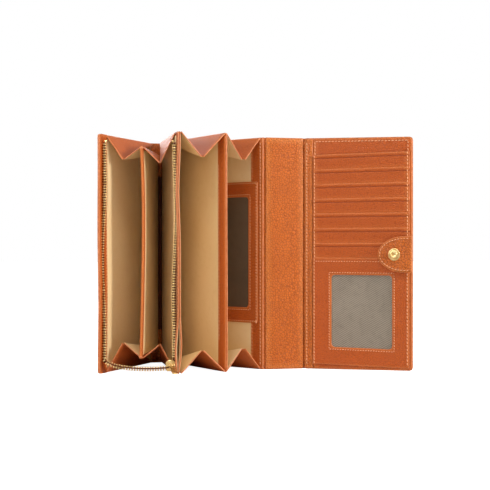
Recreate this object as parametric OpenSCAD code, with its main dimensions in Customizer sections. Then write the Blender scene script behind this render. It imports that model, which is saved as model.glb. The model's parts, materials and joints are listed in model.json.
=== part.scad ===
// Long accordion wallet, standing on its short end with its panels fanned open.
// Frame: +Z up along the wallet's length, origin on the floor at the foot of the
// middle divider's hinge line. The mouth of the wallet faces -Y, the spine +Y.
// Every panel is drawn in its own hinge frame: X is its thickness, -Y its depth.

/* [Overall] */
// Length of the covers, which is their height as the wallet stands
cover_length = 198; // [180:1:215]
// Length of the two tall dividers
divider_length = 200; // [180:1:220]
// Depth of the cover panels, from hinge line to mouth
panel_depth = 96; // [86:1:115]
// Distance between neighbouring hinge lines on the spine
hinge_pitch = 6.4; // [6:0.1:9]
// Radius of the corners of the covers
corner_r = 3; // [1.5:0.5:8]

/* [Leather and lining] */
// Thickness of the outer cover leather
cover_t = 1.6; // [1.2:0.1:1.6]
// Thickness of the leather in a divider
divider_t = 1.2; // [0.8:0.1:1.2]
// Thickness of the lining cloth
lining_t = 0.5; // [0.3:0.1:0.6]
// Thickness of a gusset leaf
gusset_t = 0.8; // [0.5:0.1:0.8]
// Depth of the leather bands along the mouths
band_depth = 13; // [9:0.5:20]

/* [Fan] */
// Opening angle of the front panel
front_angle = -33; // [-36:0.5:-25]
// Opening angle of the short middle divider
divider_a_angle = -15.6; // [-19:0.1:-11]
// Opening angle of the third divider
divider_c_angle = 21.2; // [16:0.1:24]
// Opening angle of the back panel
back_angle = 40.4; // [34:0.1:48]

/* [Short divider] */
// Depth of the short divider
short_depth = 88; // [78:1:94]
// How far the short divider's ends lie inside the tall dividers' ends
short_inset = 12; // [8:0.5:20]

/* [Slip pocket of the middle divider] */
// Clear width of the slip pocket between the divider's two walls
slip_gap = 1; // [0.6:0.1:1.2]

/* [Flap] */
// Length of the bridge between the back panel and the flap
bridge_length = 35; // [34:0.5:44]
// Direction of the bridge
bridge_angle = 92; // [80:1:100]
// Depth of the flap, from its fold to its free edge
flap_depth = 98; // [93:1:112]
// Direction of the flap
flap_angle = 50.5; // [45:0.5:60]
// How much the flap narrows at each corner of its free edge
flap_taper = 3; // [0:0.5:5]
// Depth of the slip pocket strip beside the fold
strip_depth = 8.6; // [6:0.2:12]

/* [Card slots] */
// Width of a card, which sets the least width of the slots
card_width = 85.6; // [80:0.1:86]
// Distance from one slot's edge to the next
slot_pitch = 12.5; // [10:0.1:14]
// Height of the first slot's edge above the floor
slot_top_z = 183; // [178:1:190]
// Thickness of a slot's leather
slot_t = 0.7; // [0.5:0.1:0.7]
// How far a slot's leather passes under the next one
slot_overlap = 2; // [1:0.5:4]

/* [Identity window] */
// Width of the window
window_width = 54.5; // [45:0.5:60]
// Height of the window
window_height = 61; // [50:1:66]
// Height of the window's lower edge above the floor
window_z = 20; // [12:1:24]
// Distance of the window from the flap's fold
window_start = 26.5; // [20:0.5:32]

/* [Snap] */
// Width of the snap tab along the flap's edge
tab_width = 30; // [24:1:36]
// Reach of the snap tab from the flap's edge
tab_reach = 28; // [22:1:34]
// Distance of the stud from the flap's fold
stud_at = 83.8; // [80:0.2:88]
// Height of the stud above the floor
stud_z = 98.4; // [80:0.2:120]
// Radius of the stud's post
stud_r = 3.35; // [2.5:0.05:4]
// Radius of the stud's flange
stud_flange_r = 5.2; // [4.6:0.1:6]
// Radial clearance between the stud and its socket
snap_clearance = 0.4; // [0.2:0.05:0.6]

/* [Pass pocket on the back panel] */
// Length of the pass pocket
pass_length = 121; // [100:1:140]
// Length of the mesh window in the pass pocket
pass_window_length = 95; // [80:1:110]
// Depth of the mesh window
pass_window_depth = 62; // [50:1:66]

/* [Zip] */
// Distance from one tooth to the next
tooth_pitch = 2.15; // [2:0.05:2.6]
// Height of the first tooth above the floor
zip_bottom = 12; // [10:1:20]
// Height of the last tooth above the floor
zip_top = 188; // [170:1:192]
// Width of the slider
slider_width = 8.4; // [7:0.2:10]
// Length of the slider
slider_length = 9; // [7:0.5:12]

/* [Hidden] */
$fn = 48;
slots = 7;

running = 0.3;        // clearance between pieces that move past each other
touch = 0.02;         // gap between layers that are sewn together
FRONT = 0;
DIV_A = 1;
DIV_B = 2;
DIV_C = 3;
BACK = 4;
angles = [front_angle, divider_a_angle, 0, divider_c_angle, back_angle];
bead_r = 1;
wall_t = 0.9;
b_face = slip_gap / 2 + lining_t + wall_t + lining_t;
a_face = divider_t / 2 + lining_t;
left_face = [cover_t / 2, a_face, b_face, a_face, cover_t / 2 + lining_t + touch];
right_face = [cover_t / 2 + lining_t + touch, a_face, b_face, a_face, cover_t / 2];
panel_top = [cover_length, divider_length - short_inset, divider_length, divider_length, cover_length];
panel_foot = [0, short_inset, 0, 0, 0];
depths = [panel_depth, short_depth, panel_depth, panel_depth, panel_depth + 1];

leather = "#C8642F";
edge_leather = "#D9743A";
cloth = "#D8C3A0";
mesh_cloth = "#8A7F74";
brass = "#D9B45A";

// ---- frames and sheets ----

module at_panel(i) {
    translate([base_x(i), 0, 0]) rotate(angles[i]) children();
}

function base_x(i) = (i - DIV_B) * hinge_pitch;
function dir(a) = [sin(a), -cos(a)];
function nor(a) = [cos(a), sin(a)];
function panel_point(i, u, x = 0) = [base_x(i), 0] + u * dir(angles[i]) + x * nor(angles[i]);

// A flat outline, with first coordinate -depth and second coordinate height.
module sheet_outline(u0, u1, z0, z1, r = 0) {
    if (r > 0) {
        translate([-u1 + r, z0]) square([u1 - u0 - r, z1 - z0]);
        translate([-u1, z0 + r]) square([r, z1 - z0 - 2 * r]);
        for (z = [z0 + r, z1 - r]) translate([-u1 + r, z]) circle(r);
    } else {
        translate([-u1, z0]) square([u1 - u0, z1 - z0]);
    }
}

// Extrudes an outline of depth and height from x0 to x1 of the panel's thickness.
module stand_up(x0, x1) {
    translate([x0, 0, 0]) rotate([90, 0, 90]) linear_extrude(x1 - x0) children();
}

module sheet(x0, x1, u0, u1, z0, z1, r = 0) {
    stand_up(x0, x1) sheet_outline(u0, u1, z0, z1, r);
}

module hinge_bead(z0, z1, r = bead_r) {
    translate([0, 0, z0]) cylinder(r = r, h = z1 - z0);
}

// ---- spine and middle divider ----

spine_y = bead_r + running;
spine_half = 2 * hinge_pitch + cover_t / 2;

module spine_cover() {
    color(leather) linear_extrude(cover_length) {
        translate([-spine_half, spine_y]) square([2 * spine_half, cover_t]);
        for (s = [-1, 1]) translate([s * spine_half, spine_y + cover_t / 2]) circle(cover_t / 2);
        translate([-bead_r, -bead_r]) square([2 * bead_r, spine_y + bead_r]);
    }
}

slip_half = slip_gap / 2;
wall_in = slip_half + lining_t;
wall_out = wall_in + wall_t;
b_start = bead_r + touch;

module divider_b_left_wall() {
    color(edge_leather) sheet(-wall_out, -wall_in, b_start, panel_depth, 0, divider_length, corner_r);
}

module divider_b_right_wall() {
    color(edge_leather) sheet(wall_in, wall_out, b_start, panel_depth, 0, divider_length, corner_r);
}

slip_depth = 84;
slip_end = 2;

module divider_b_pocket_lining() {
    color(cloth) difference() {
        sheet(-wall_in + touch, wall_in - touch, b_start, panel_depth - 1, slip_end / 2,
              divider_length - slip_end / 2);
        translate([-slip_half, -panel_depth - 1, slip_end])
            cube([slip_gap, slip_depth + 1, divider_length - 2 * slip_end]);
    }
}

lining_margin = 3;
zip_zone = 8;

module divider_b_left_lining() {
    color(cloth) sheet(-b_face, -wall_out - touch, b_start, panel_depth - zip_zone, lining_margin,
                       divider_length - lining_margin);
}

module divider_b_right_lining() {
    color(cloth) sheet(wall_out + touch, b_face, b_start, panel_depth - lining_margin, lining_margin,
                       divider_length - lining_margin);
}

// ---- zip: two tapes that reach towards each other, with a tooth row on each ----

tape_u = panel_depth - 4.5;
tape_t = 0.7;
tooth_t = 2.2;
tooth_w = 2.2;
tooth_h = 1.2;
post_half = 0.45;
zip_mid = hinge_pitch;     // the closed chain lies halfway between front and middle divider
tooth_gap = post_half + running;
tape_foot = 9;
tape_head = 191;

module zip_side(face, reach) {
    translate([face, -tape_u - tape_t / 2, tape_foot])
        cube([reach - tooth_w / 2 - face, tape_t, tape_head - tape_foot]);
}

tooth_count = floor((zip_top - zip_bottom) / tooth_pitch);
right_reach = zip_mid - tooth_gap;
left_reach = zip_mid - tooth_gap;

module tooth_row(tip, side) {
    for (k = [0:tooth_count])
        translate([side > 0 ? tip - tooth_w : tip, -tape_u - tooth_t / 2,
                   zip_bottom + k * tooth_pitch + (side > 0 ? 0 : tooth_pitch / 2)])
            cube([tooth_w, tooth_t, tooth_h]);
}

module zip_tape_right() {
    color(cloth) mirror([1, 0, 0]) zip_tape(wall_out + touch, right_reach);
}

module zip_teeth_right() {
    color(brass) {
        tooth_row(-right_reach, -1);
        translate([-right_reach, -tape_u - tooth_t / 2, zip_top + tooth_pitch])
            cube([tooth_w, tooth_t, 3]);
    }
}

// A tape from a panel's face to its teeth, whose roots it meets.
module zip_tape(face, reach) {
    zip_side(face, reach - tooth_w / 2 - touch);
}

front_in = cover_t / 2 + lining_t + touch;

module zip_tape_left() {
    color(cloth) at_panel(FRONT) zip_tape(front_band_face + touch, left_reach);
}

module zip_teeth_left() {
    color(brass) at_panel(FRONT) {
        tooth_row(left_reach, 1);
        translate([left_reach - tooth_w, -tape_u - tooth_t / 2, zip_top + tooth_pitch])
            cube([tooth_w, tooth_t, 3]);
    }
}

plate_t = 1;
plate_gap = tooth_t / 2 + running;

module slider_plate() {
    rotate([90, 0, 0]) linear_extrude(plate_t) {
        translate([-slider_width / 2, 0]) square([slider_width, slider_length - slider_width / 2]);
        translate([0, slider_length - slider_width / 2]) circle(slider_width / 2);
    }
}

slider_z = 2.4;
lug_r = 1.5;
lug_hole_r = 0.8;
lug_z = slider_z + slider_length * 0.55;
lug_y = tape_u + plate_gap + plate_t;

module zip_slider() {
    color(brass) translate([-zip_mid, 0, 0]) difference() {
        union() {
            translate([0, -tape_u + plate_gap + plate_t, slider_z]) slider_plate();
            translate([0, -tape_u - plate_gap, slider_z]) slider_plate();
            translate([-post_half, -tape_u - plate_gap, slider_z])
                cube([2 * post_half, 2 * plate_gap, slider_length - 1]);
            for (s = [-1, 1])
                translate([s * lug_x - lug_w / 2, -lug_y - lug_r, lug_z])
                    rotate([0, 90, 0]) {
                        cylinder(r = lug_r, h = lug_w);
                        translate([-lug_r, 0, 0]) cube([2 * lug_r, lug_r + touch, lug_w]);
                    }
        }
        translate([-slider_width, -lug_y - lug_r, lug_z])
            rotate([0, 90, 0]) cylinder(r = lug_hole_r, h = 2 * slider_width);
    }
}

lug_w = 1;
lug_x = 2.2;
puller_t = 1.1;
puller_w = 5;
puller_len = 20;
puller_droop = 12;         // below level, so that it lies out of the slider's mouth
puller_pin_r = lug_hole_r - 0.06;

module zip_puller() {
    color(brass) translate([-zip_mid, -lug_y - lug_r, lug_z]) rotate([90 + puller_droop, 0, 0]) {
        rotate([0, 90, 0]) translate([0, 0, -lug_x - lug_w / 2])
            cylinder(r = puller_pin_r, h = 2 * lug_x + lug_w);
        translate([-lug_x + lug_w / 2 + 0.2, -puller_t / 2, 0]) cube([2 * lug_x - lug_w - 0.4, puller_t, 4]);
        translate([0, puller_t / 2, 3]) rotate([90, 0, 0]) linear_extrude(puller_t) difference() {
            union() {
                translate([-puller_w / 2, 0]) square([puller_w, puller_len - puller_w / 2]);
                translate([0, puller_len - puller_w / 2]) circle(puller_w / 2);
            }
            translate([0, puller_len - puller_w / 2]) circle(1.2);
        }
    }
}

// ---- front panel ----

front_band_face = cover_t / 2 + touch + divider_t / 2;
band_start = panel_depth - band_depth;

module front_cover() {
    color(leather) at_panel(FRONT) {
        sheet(-cover_t / 2, cover_t / 2, 0, panel_depth, 0, cover_length, corner_r);
        hinge_bead(0, cover_length);
    }
}

module front_lining() {
    color(cloth) at_panel(FRONT)
        sheet(cover_t / 2 + touch, front_in, bead_r + touch, band_start - touch, lining_margin,
              cover_length - lining_margin);
}

module front_band() {
    color(edge_leather) at_panel(FRONT)
        sheet(cover_t / 2 + touch, front_band_face, band_start, panel_depth, 0, cover_length, corner_r);
}

// The socket lies on the front cover where the stud lands when the flap is shut.
fold_gap = 1.2;
socket_u = depths[BACK] + fold_gap - stud_at;
socket_wall = 1.6;
socket_t = 1.8;

module snap_socket() {
    color(brass) at_panel(FRONT)
        translate([-cover_t / 2 - touch - socket_t, -socket_u, stud_z]) rotate([0, 90, 0])
            difference() {
                cylinder(r = stud_r + snap_clearance + socket_wall, h = socket_t);
                translate([0, 0, -1]) cylinder(r = stud_r + snap_clearance, h = socket_t + 2);
            }
}

// ---- short divider ----

module divider_a_core() {
    color(edge_leather) at_panel(DIV_A) {
        sheet(-divider_t / 2, divider_t / 2, 0, short_depth, panel_foot[DIV_A], panel_top[DIV_A], corner_r);
        hinge_bead(panel_foot[DIV_A], panel_top[DIV_A]);
    }
}

module divider_a_linings() {
    color(cloth) at_panel(DIV_A) for (s = [0, 1]) mirror([s, 0, 0])
        sheet(divider_t / 2 + touch, a_face, bead_r + touch, short_depth - 5,
              panel_foot[DIV_A] + lining_margin, panel_top[DIV_A] - lining_margin);
}

// ---- third divider ----

module divider_c_core() {
    color(edge_leather) at_panel(DIV_C) {
        sheet(-divider_t / 2, divider_t / 2, 0, panel_depth, 0, divider_length, corner_r);
        hinge_bead(0, divider_length);
    }
}

module divider_c_left_lining() {
    color(cloth) at_panel(DIV_C)
        sheet(-a_face, -divider_t / 2 - touch, bead_r + touch, band_start - touch, lining_margin,
              divider_length - lining_margin);
}

module divider_c_right_lining() {
    color(cloth) at_panel(DIV_C)
        sheet(divider_t / 2 + touch, a_face, bead_r + touch, panel_depth - 5, lining_margin,
              divider_length - lining_margin);
}

module divider_c_band() {
    color(leather) at_panel(DIV_C)
        sheet(-a_face, -divider_t / 2 - touch, band_start, panel_depth - 1, 1, divider_length - 1, corner_r);
}

// ---- back panel ----

back_depth = depths[BACK];
back_in = cover_t / 2 + lining_t + touch;
pass_z = (cover_length - pass_length) / 2 + 1;
pass_end = back_depth - 5;
pass_t = 0.5;

module back_cover() {
    color(leather) at_panel(BACK) {
        sheet(-cover_t / 2, cover_t / 2, 0, back_depth, 0, cover_length);
        hinge_bead(0, cover_length);
    }
}

module back_lining() {
    color(cloth) at_panel(BACK)
        sheet(-back_in, -cover_t / 2 - touch, bead_r + touch, back_depth - band_depth - touch, lining_margin,
              cover_length - lining_margin);
}

module back_band() {
    color(leather) at_panel(BACK)
        sheet(-back_in, -cover_t / 2 - touch, back_depth - band_depth, back_depth, 1, cover_length - 1);
}

pass_window_z = pass_z + (pass_length - pass_window_length) / 2;
pass_window_end = pass_end - 10;

module pass_pocket() {
    color(leather) at_panel(BACK) stand_up(-back_in - touch - pass_t, -back_in - touch) difference() {
        sheet_outline(pass_end - 80, pass_end, pass_z, pass_z + pass_length, 2);
        sheet_outline(pass_window_end - pass_window_depth, pass_window_end, pass_window_z,
                      pass_window_z + pass_window_length, 2);
    }
}

module pass_window() {
    color(mesh_cloth) at_panel(BACK)
        sheet(-back_in - touch - 0.3, -back_in - touch, pass_window_end - pass_window_depth + touch,
              pass_window_end - touch, pass_window_z + touch, pass_window_z + pass_window_length - touch, 2);
}

// ---- bridge and flap ----

back_edge = panel_point(BACK, back_depth + fold_gap);
bridge_end = back_edge + bridge_length * dir(bridge_angle);

module at_bridge() {
    translate(back_edge) rotate(bridge_angle) children();
}

module at_flap() {
    translate(bridge_end) rotate(flap_angle) children();
}

bridge_t = 1.3;
fold_r = 0.5;

// A sheet that starts in a round bead, on the line that it folds about.
module folded_sheet(u1) {
    sheet(0, bridge_t, fold_gap, u1, 0, cover_length);
    fold_bead();
}

module fold_bead() {
    sheet(0, fold_r, 0, fold_gap, 0, cover_length);
    hinge_bead(0, cover_length, fold_r);
}

module bridge_cover() {
    color(leather) at_bridge()
        folded_sheet(bridge_length - fold_gap);
}

module bridge_lining() {
    color(leather) at_bridge()
        sheet(-0.7 - touch, -touch, fold_gap, bridge_length - fold_gap, 0.6, cover_length - 0.6);
}

flap_corner = 3;

// Outline of the flap, narrower towards its free edge, inset by d.
module flap_outline(u0, d) {
    intersection() {
        sheet_outline(u0, flap_depth - d, 0, cover_length, 0);
        polygon([[0, d], [-flap_depth, flap_taper + d], [-flap_depth, cover_length - flap_taper - d],
                 [0, cover_length - d]]);
    }
}

module flap_cover() {
    color(leather) at_flap() {
        stand_up(0, bridge_t) difference() {
            flap_outline(fold_gap, 0);
            for (z = [flap_taper, cover_length - flap_taper]) corner_cut(z);
        }
        fold_bead();
    }
}

// Rounds one free corner of the flap, at height z.
module corner_cut(z) {
    up = z < cover_length / 2;
    translate([-flap_depth, z]) difference() {
        translate([-1, up ? -1 : -flap_corner]) square([flap_corner + 1, flap_corner + 1]);
        translate([flap_corner, up ? flap_corner : -flap_corner]) circle(flap_corner);
    }
}

card_start = strip_depth + 0.4;
backing_t = 0.8;

module slip_pocket_strip() {
    color(leather) at_flap()
        sheet(-1.5, -touch, fold_gap, strip_depth, 1, cover_length - 1);
}

module card_backing() {
    color(leather) at_flap() stand_up(-backing_t - touch, -touch) flap_outline(card_start, 1);
}

slot_gap = 0.12;
slot_tilt = atan((slot_t + slot_gap) / slot_pitch);
slot_start = card_start + 0.4;
slot_end = slot_start + card_width + 0.8;
slot_length = slot_pitch + slot_overlap;

// One slot: a strip that leans out at its top edge, so that the next one lies over its foot.
module card_slot(k) {
    color(edge_leather) at_flap()
        translate([-backing_t - 2 * touch, 0, slot_top_z - (k - 1) * slot_pitch - slot_length])
            rotate([0, -slot_tilt, 0]) sheet(-slot_t, 0, slot_start, slot_end, 0.2, slot_length);
}

window_top = slot_top_z - slots * slot_pitch;
window_lift = slot_length * sin(slot_tilt) + backing_t + slot_gap + slot_t;
panel_foot_z = flap_taper + 2;

module window_panel() {
    color(leather) at_flap() translate([-backing_t - 2 * touch, 0, 0]) difference() {
        stand_up(-window_back - slot_t, -window_back) sheet_outline(slot_start, slot_end, panel_foot_z,
                                                                    window_top);
        stand_up(-window_back - 1, -window_back + 1)
            translate([-window_start - window_width, window_z]) square([window_width, window_height]);
    }
    color(leather) at_flap() translate([-backing_t - 2 * touch, 0, 0])
        for (side = [[slot_start, slot_start + 2], [slot_end - 2, slot_end]])
            sheet(-window_back - touch, 0, side[0], side[1], panel_foot_z, window_top - slot_overlap - 1);
    color(leather) at_flap() translate([-backing_t - 2 * touch, 0, 0])
        sheet(-window_back - touch, 0, slot_start, slot_end, panel_foot_z, panel_foot_z + 2);
}

window_back = slot_t + 2 * slot_gap;

module window_mesh() {
    color(mesh_cloth) at_flap() translate([-backing_t - 2 * touch, 0, 0])
        sheet(-window_back + 0.05, -window_back + 0.05 + 0.4, window_start - 4,
              window_start + window_width + 4, window_z - 4, window_z + window_height + 4, 2);
}

// ---- snap tab ----

tab_t = 1.5;
tab_back = backing_t + 2 * touch + window_back + slot_t + slot_t + 2 * running;
tab_face = tab_back + tab_t;
flange_t = 0.6;
stud_t = 2;
tab_edge_u = flap_depth - 0.8;

module snap_tab() {
    color(leather) at_flap() {
        stand_up(-tab_face, -tab_back) {
            translate([-tab_edge_u, stud_z - tab_width / 2])
                square([tab_reach - tab_width / 2, tab_width]);
            translate([-tab_edge_u + tab_reach - tab_width / 2, stud_z]) circle(tab_width / 2);
        }
        sheet(-tab_back - touch, -backing_t - 2 * touch, slot_end + running, tab_edge_u,
              stud_z - tab_width / 2, stud_z + tab_width / 2);
    }
}

module snap_stud() {
    color(brass) at_flap() translate([-tab_face - touch, -stud_at, stud_z]) rotate([0, -90, 0])
        difference() {
            union() {
                cylinder(r = stud_flange_r, h = flange_t);
                cylinder(r = stud_r, h = flange_t + stud_t);
            }
            translate([0, 0, 1]) cylinder(r = 1.2, h = flange_t + stud_t);
        }
}

// ---- gussets: each end of each gap has two leaves that fold inwards ----

gusset_u0 = 6;
gusset_u1 = [panel_depth - 12, panel_depth - 12, panel_depth - 2, panel_depth - 2];
drop_top = [22, 25, 20, 21];
drop_foot = [24, 23, 18, 18];
fold_clear = [0.9, 0.9, 2, 1.2];
leaf_seat = 0.25;

function gusset_name(v, e, s) =
    str("gusset_", v + 1, "_", e == 0 ? "top" : "foot", "_", s == 0 ? "left" : "right");

// Panel that carries leaf s of gap v, its face and the side that the leaf turns to.
function leaf_panel(v, s) = v + s;
function leaf_face(v, s) = s == 0 ? right_face[v] : left_face[v + 1];
function leaf_u1(v, s) = min(gusset_u1[v], depths[leaf_panel(v, s)] - 2);

// Height of the fold at the mouth, and how far each leaf drops from its own panel's end to it.
function fold_drop(v, e) = e == 0 ? drop_top[v] : drop_foot[v];
function fold_z(v, e) = e == 0 ? divider_length - fold_drop(v, e) : fold_drop(v, e);
function leaf_end_z(v, e, s) = e == 0 ? panel_top[leaf_panel(v, s)] : panel_foot[leaf_panel(v, s)];
function leaf_drop(v, e, s) = abs(leaf_end_z(v, e, s) - fold_z(v, e)) - gusset_t / 2;

// Clear distance from the panel's face to the middle of the gap, at depth u.
function half_gap(v, s, u) =
    let (i = leaf_panel(v, s), j = leaf_panel(v, 1 - s),
         mid = (panel_point(i, u) + panel_point(j, u)) / 2 - panel_point(i, u))
    abs(mid * nor(angles[i])) - leaf_face(v, s);

function leaf_side_reach(v, s, u) = half_gap(v, s, u) - leaf_seat - gusset_t - fold_clear[v] / 2;
function leaf_width(v, e, s) = norm([leaf_side_reach(v, s, leaf_u1(v, s)), leaf_drop(v, e, s)]);
function leaf_rest(v, e, s) = atan(leaf_side_reach(v, s, leaf_u1(v, s)) / leaf_drop(v, e, s));
function leaf_root_width(v, e, s) =
    max(1.5, leaf_width(v, e, s) * leaf_side_reach(v, s, gusset_u0) / leaf_side_reach(v, s, leaf_u1(v, s)));

// The tip lies a little less deep, because the gap's middle does.
function leaf_tip_back(v, s) =
    half_gap(v, s, leaf_u1(v, s)) * tan(abs(angles[v + 1] - angles[v]) / 2);

module gusset_leaf(v, e, s) {
    side = s == 0 ? 1 : -1;
    down = e == 0 ? -1 : 1;
    u1 = leaf_u1(v, s);
    color(edge_leather) at_panel(leaf_panel(v, s))
        translate([side * (leaf_face(v, s) + leaf_seat + gusset_t / 2), 0,
                   leaf_end_z(v, e, s) + down * gusset_t / 2])
            rotate([0, side * down * leaf_rest(v, e, s), 0]) stand_up(-gusset_t / 2, gusset_t / 2)
                polygon([[-gusset_u0, 0], [-u1, 0],
                         [-u1 + leaf_tip_back(v, s), down * leaf_width(v, e, s)],
                         [-gusset_u0, down * leaf_root_width(v, e, s)]]);
}

spine_cover();
divider_b_left_wall();
divider_b_right_wall();
divider_b_pocket_lining();
divider_b_left_lining();
divider_b_right_lining();
zip_tape_right();
zip_teeth_right();
front_cover();
front_lining();
front_band();
zip_tape_left();
zip_teeth_left();
snap_socket();
divider_a_core();
divider_a_linings();
divider_c_core();
divider_c_left_lining();
divider_c_right_lining();
divider_c_band();
back_cover();
back_lining();
back_band();
pass_pocket();
pass_window();
bridge_cover();
bridge_lining();
flap_cover();
slip_pocket_strip();
card_backing();
for (k = [1:slots]) card_slot(k);
window_panel();
window_mesh();
snap_tab();
snap_stud();
zip_slider();
zip_puller();
for (v = [0:3], e = [0:1], s = [0:1])
    gusset_leaf(v, e, s);
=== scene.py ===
"""A long accordion wallet in tan leather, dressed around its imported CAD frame.

The wallet stands on its short end with its panels fanned open and its flap spread to the right. Every
sub-assembly is a class. Each one reads where its CAD nodes lie, builds detailed meshes in their place and
makes them ride on the same bodies. Sizes inside a class are in millimetres, and meshes are in metres.
"""

import json
import logging
import math
from collections.abc import Callable, Sequence
from dataclasses import dataclass, field
from enum import Enum

import bmesh
import bpy
import numpy as np
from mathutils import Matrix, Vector

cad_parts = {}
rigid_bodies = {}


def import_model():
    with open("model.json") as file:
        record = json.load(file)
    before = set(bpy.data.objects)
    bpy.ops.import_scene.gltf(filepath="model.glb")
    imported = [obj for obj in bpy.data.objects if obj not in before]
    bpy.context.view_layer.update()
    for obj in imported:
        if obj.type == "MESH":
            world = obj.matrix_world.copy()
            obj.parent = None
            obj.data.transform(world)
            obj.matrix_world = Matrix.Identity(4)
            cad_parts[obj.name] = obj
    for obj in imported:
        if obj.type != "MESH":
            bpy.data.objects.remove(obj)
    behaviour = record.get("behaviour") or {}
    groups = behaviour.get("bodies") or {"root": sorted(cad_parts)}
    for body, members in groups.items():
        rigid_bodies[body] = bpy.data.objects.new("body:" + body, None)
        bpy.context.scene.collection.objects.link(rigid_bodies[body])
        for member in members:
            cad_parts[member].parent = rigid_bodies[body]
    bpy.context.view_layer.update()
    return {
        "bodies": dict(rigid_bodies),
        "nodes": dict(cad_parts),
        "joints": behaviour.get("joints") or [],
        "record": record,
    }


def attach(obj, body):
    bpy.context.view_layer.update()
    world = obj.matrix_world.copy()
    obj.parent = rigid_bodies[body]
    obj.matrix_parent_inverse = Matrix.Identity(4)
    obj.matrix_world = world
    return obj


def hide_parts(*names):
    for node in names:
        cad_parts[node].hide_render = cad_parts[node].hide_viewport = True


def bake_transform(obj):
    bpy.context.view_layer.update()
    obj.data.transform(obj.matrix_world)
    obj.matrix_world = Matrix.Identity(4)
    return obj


log = logging.getLogger("long_wallet")

MM = 0.001
FLAT = "flat_mm"
# Per point: wear rubbed in along the edges, from 0 to 1, or -1 on a pressed crease, which the leather paints with
# shade.
WEAR_AND_SHADE = "edge_wear"
SLIM = 1e-6
FRAME: dict = {}
Bend = Callable[[np.ndarray, np.ndarray], np.ndarray]
Socket = bpy.types.NodeSocket


# ----------------------------------------
# Colours and materials
# ----------------------------------------


def linear(code: str) -> tuple[float, float, float, float]:
    """Turns an sRGB hex colour into linear light.

    Args:
        code: The colour as "#RRGGBB".

    Returns:
        Linear red, green, blue and an alpha of 1.
    """
    parts = [int(code[i : i + 2], 16) / 255 for i in (1, 3, 5)]
    toe, slope, offset, power = 0.04045, 12.92, 0.055, 2.4
    out = [p / slope if p <= toe else ((p + offset) / (1 + offset)) ** power for p in parts]
    return (*out, 1.0)


def add_node(tree: bpy.types.NodeTree, kind: str, inputs: dict | None = None, **settings: object) -> bpy.types.Node:
    """Adds one node, with its settings, values and links.

    Args:
        tree: The node tree that the node goes into.
        kind: The node's type name, without its "ShaderNode" prefix.
        inputs: What each input gets, by name or number: a socket is linked, anything else is a value.
        **settings: The node's own properties.

    Returns:
        The new node.
    """
    made = tree.nodes.new("ShaderNode" + kind)
    for key, value in settings.items():
        setattr(made, key, value)
    for key, value in (inputs or {}).items():
        if isinstance(value, Socket):
            tree.links.new(value, made.inputs[key])
        else:
            made.inputs[key].default_value = value
    return made


def tinted(tree: bpy.types.NodeTree, amount: Socket, low: str, high: str) -> Socket:
    """Gives a colour between two sRGB colours.

    Args:
        tree: The node tree.
        amount: How far the colour is from the first one, from 0 to 1.
        low: The first colour.
        high: The second colour.

    Returns:
        The colour's socket.
    """
    made = add_node(tree, "Mix", {"Factor": amount}, data_type="RGBA")
    made.inputs["A"].default_value = linear(low)
    made.inputs["B"].default_value = linear(high)
    return made.outputs["Result"]


def stretched(tree: bpy.types.NodeTree, value: Socket, low: float, high: float) -> Socket:
    """Spreads a value so that it runs from 0 at low to 1 at high."""
    return add_node(tree, "MapRange", {"Value": value, "From Min": low, "From Max": high}).outputs["Result"]


def calc(tree: bpy.types.NodeTree, how: str, a: Socket | float, b: Socket | float = 0.0) -> Socket:
    """Works out one arithmetic step on two values."""
    return add_node(tree, "Math", {0: a, 1: b}, operation=how).outputs[0]


class Finish:
    """A finish that makes its material once and then hands it out."""

    def __init__(self, name: str, look: object) -> None:
        """Names the finish and takes its look.

        Args:
            name: The material's name.
            look: Its colours and sizes.
        """
        self.name = name
        self.look = look
        self._made: bpy.types.Material | None = None

    def material(self) -> bpy.types.Material:
        """Makes the finish's material at its first use.

        Returns:
            The material.
        """
        if self._made is None:
            self._made = bpy.data.materials.new(self.name)
            self._made.use_nodes = True
            tree = self._made.node_tree
            self.dress(tree, tree.nodes["Principled BSDF"])
        return self._made

    def dress(self, tree: bpy.types.NodeTree, shader: bpy.types.Node) -> None:
        """Adds the finish's nodes to a new material."""
        raise NotImplementedError


@dataclass(frozen=True)
class LeatherLook:
    """Full-grain cow leather, drum dyed and plated: a low gloss with a pebbled or a smooth grain.

    Attributes:
        body: Colour of the dyed leather.
        deep: Colour in the darker clouds of the dye, and the painted shade in the grain's creases and pressed lines.
        worn: Colour along the edges, where handling has rubbed the dye.
        grain: Width of one grain pebble, in millimetres, drawn a little coarse so that it shows.
        depth: Depth of the creases between pebbles, in millimetres.
        crease_shade: How much painted shade darkens the creases, from 0 to 1.
        roughness: Roughness of the surface.
    """

    body: str
    deep: str
    worn: str
    grain: float
    depth: float
    crease_shade: float
    roughness: float


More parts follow.
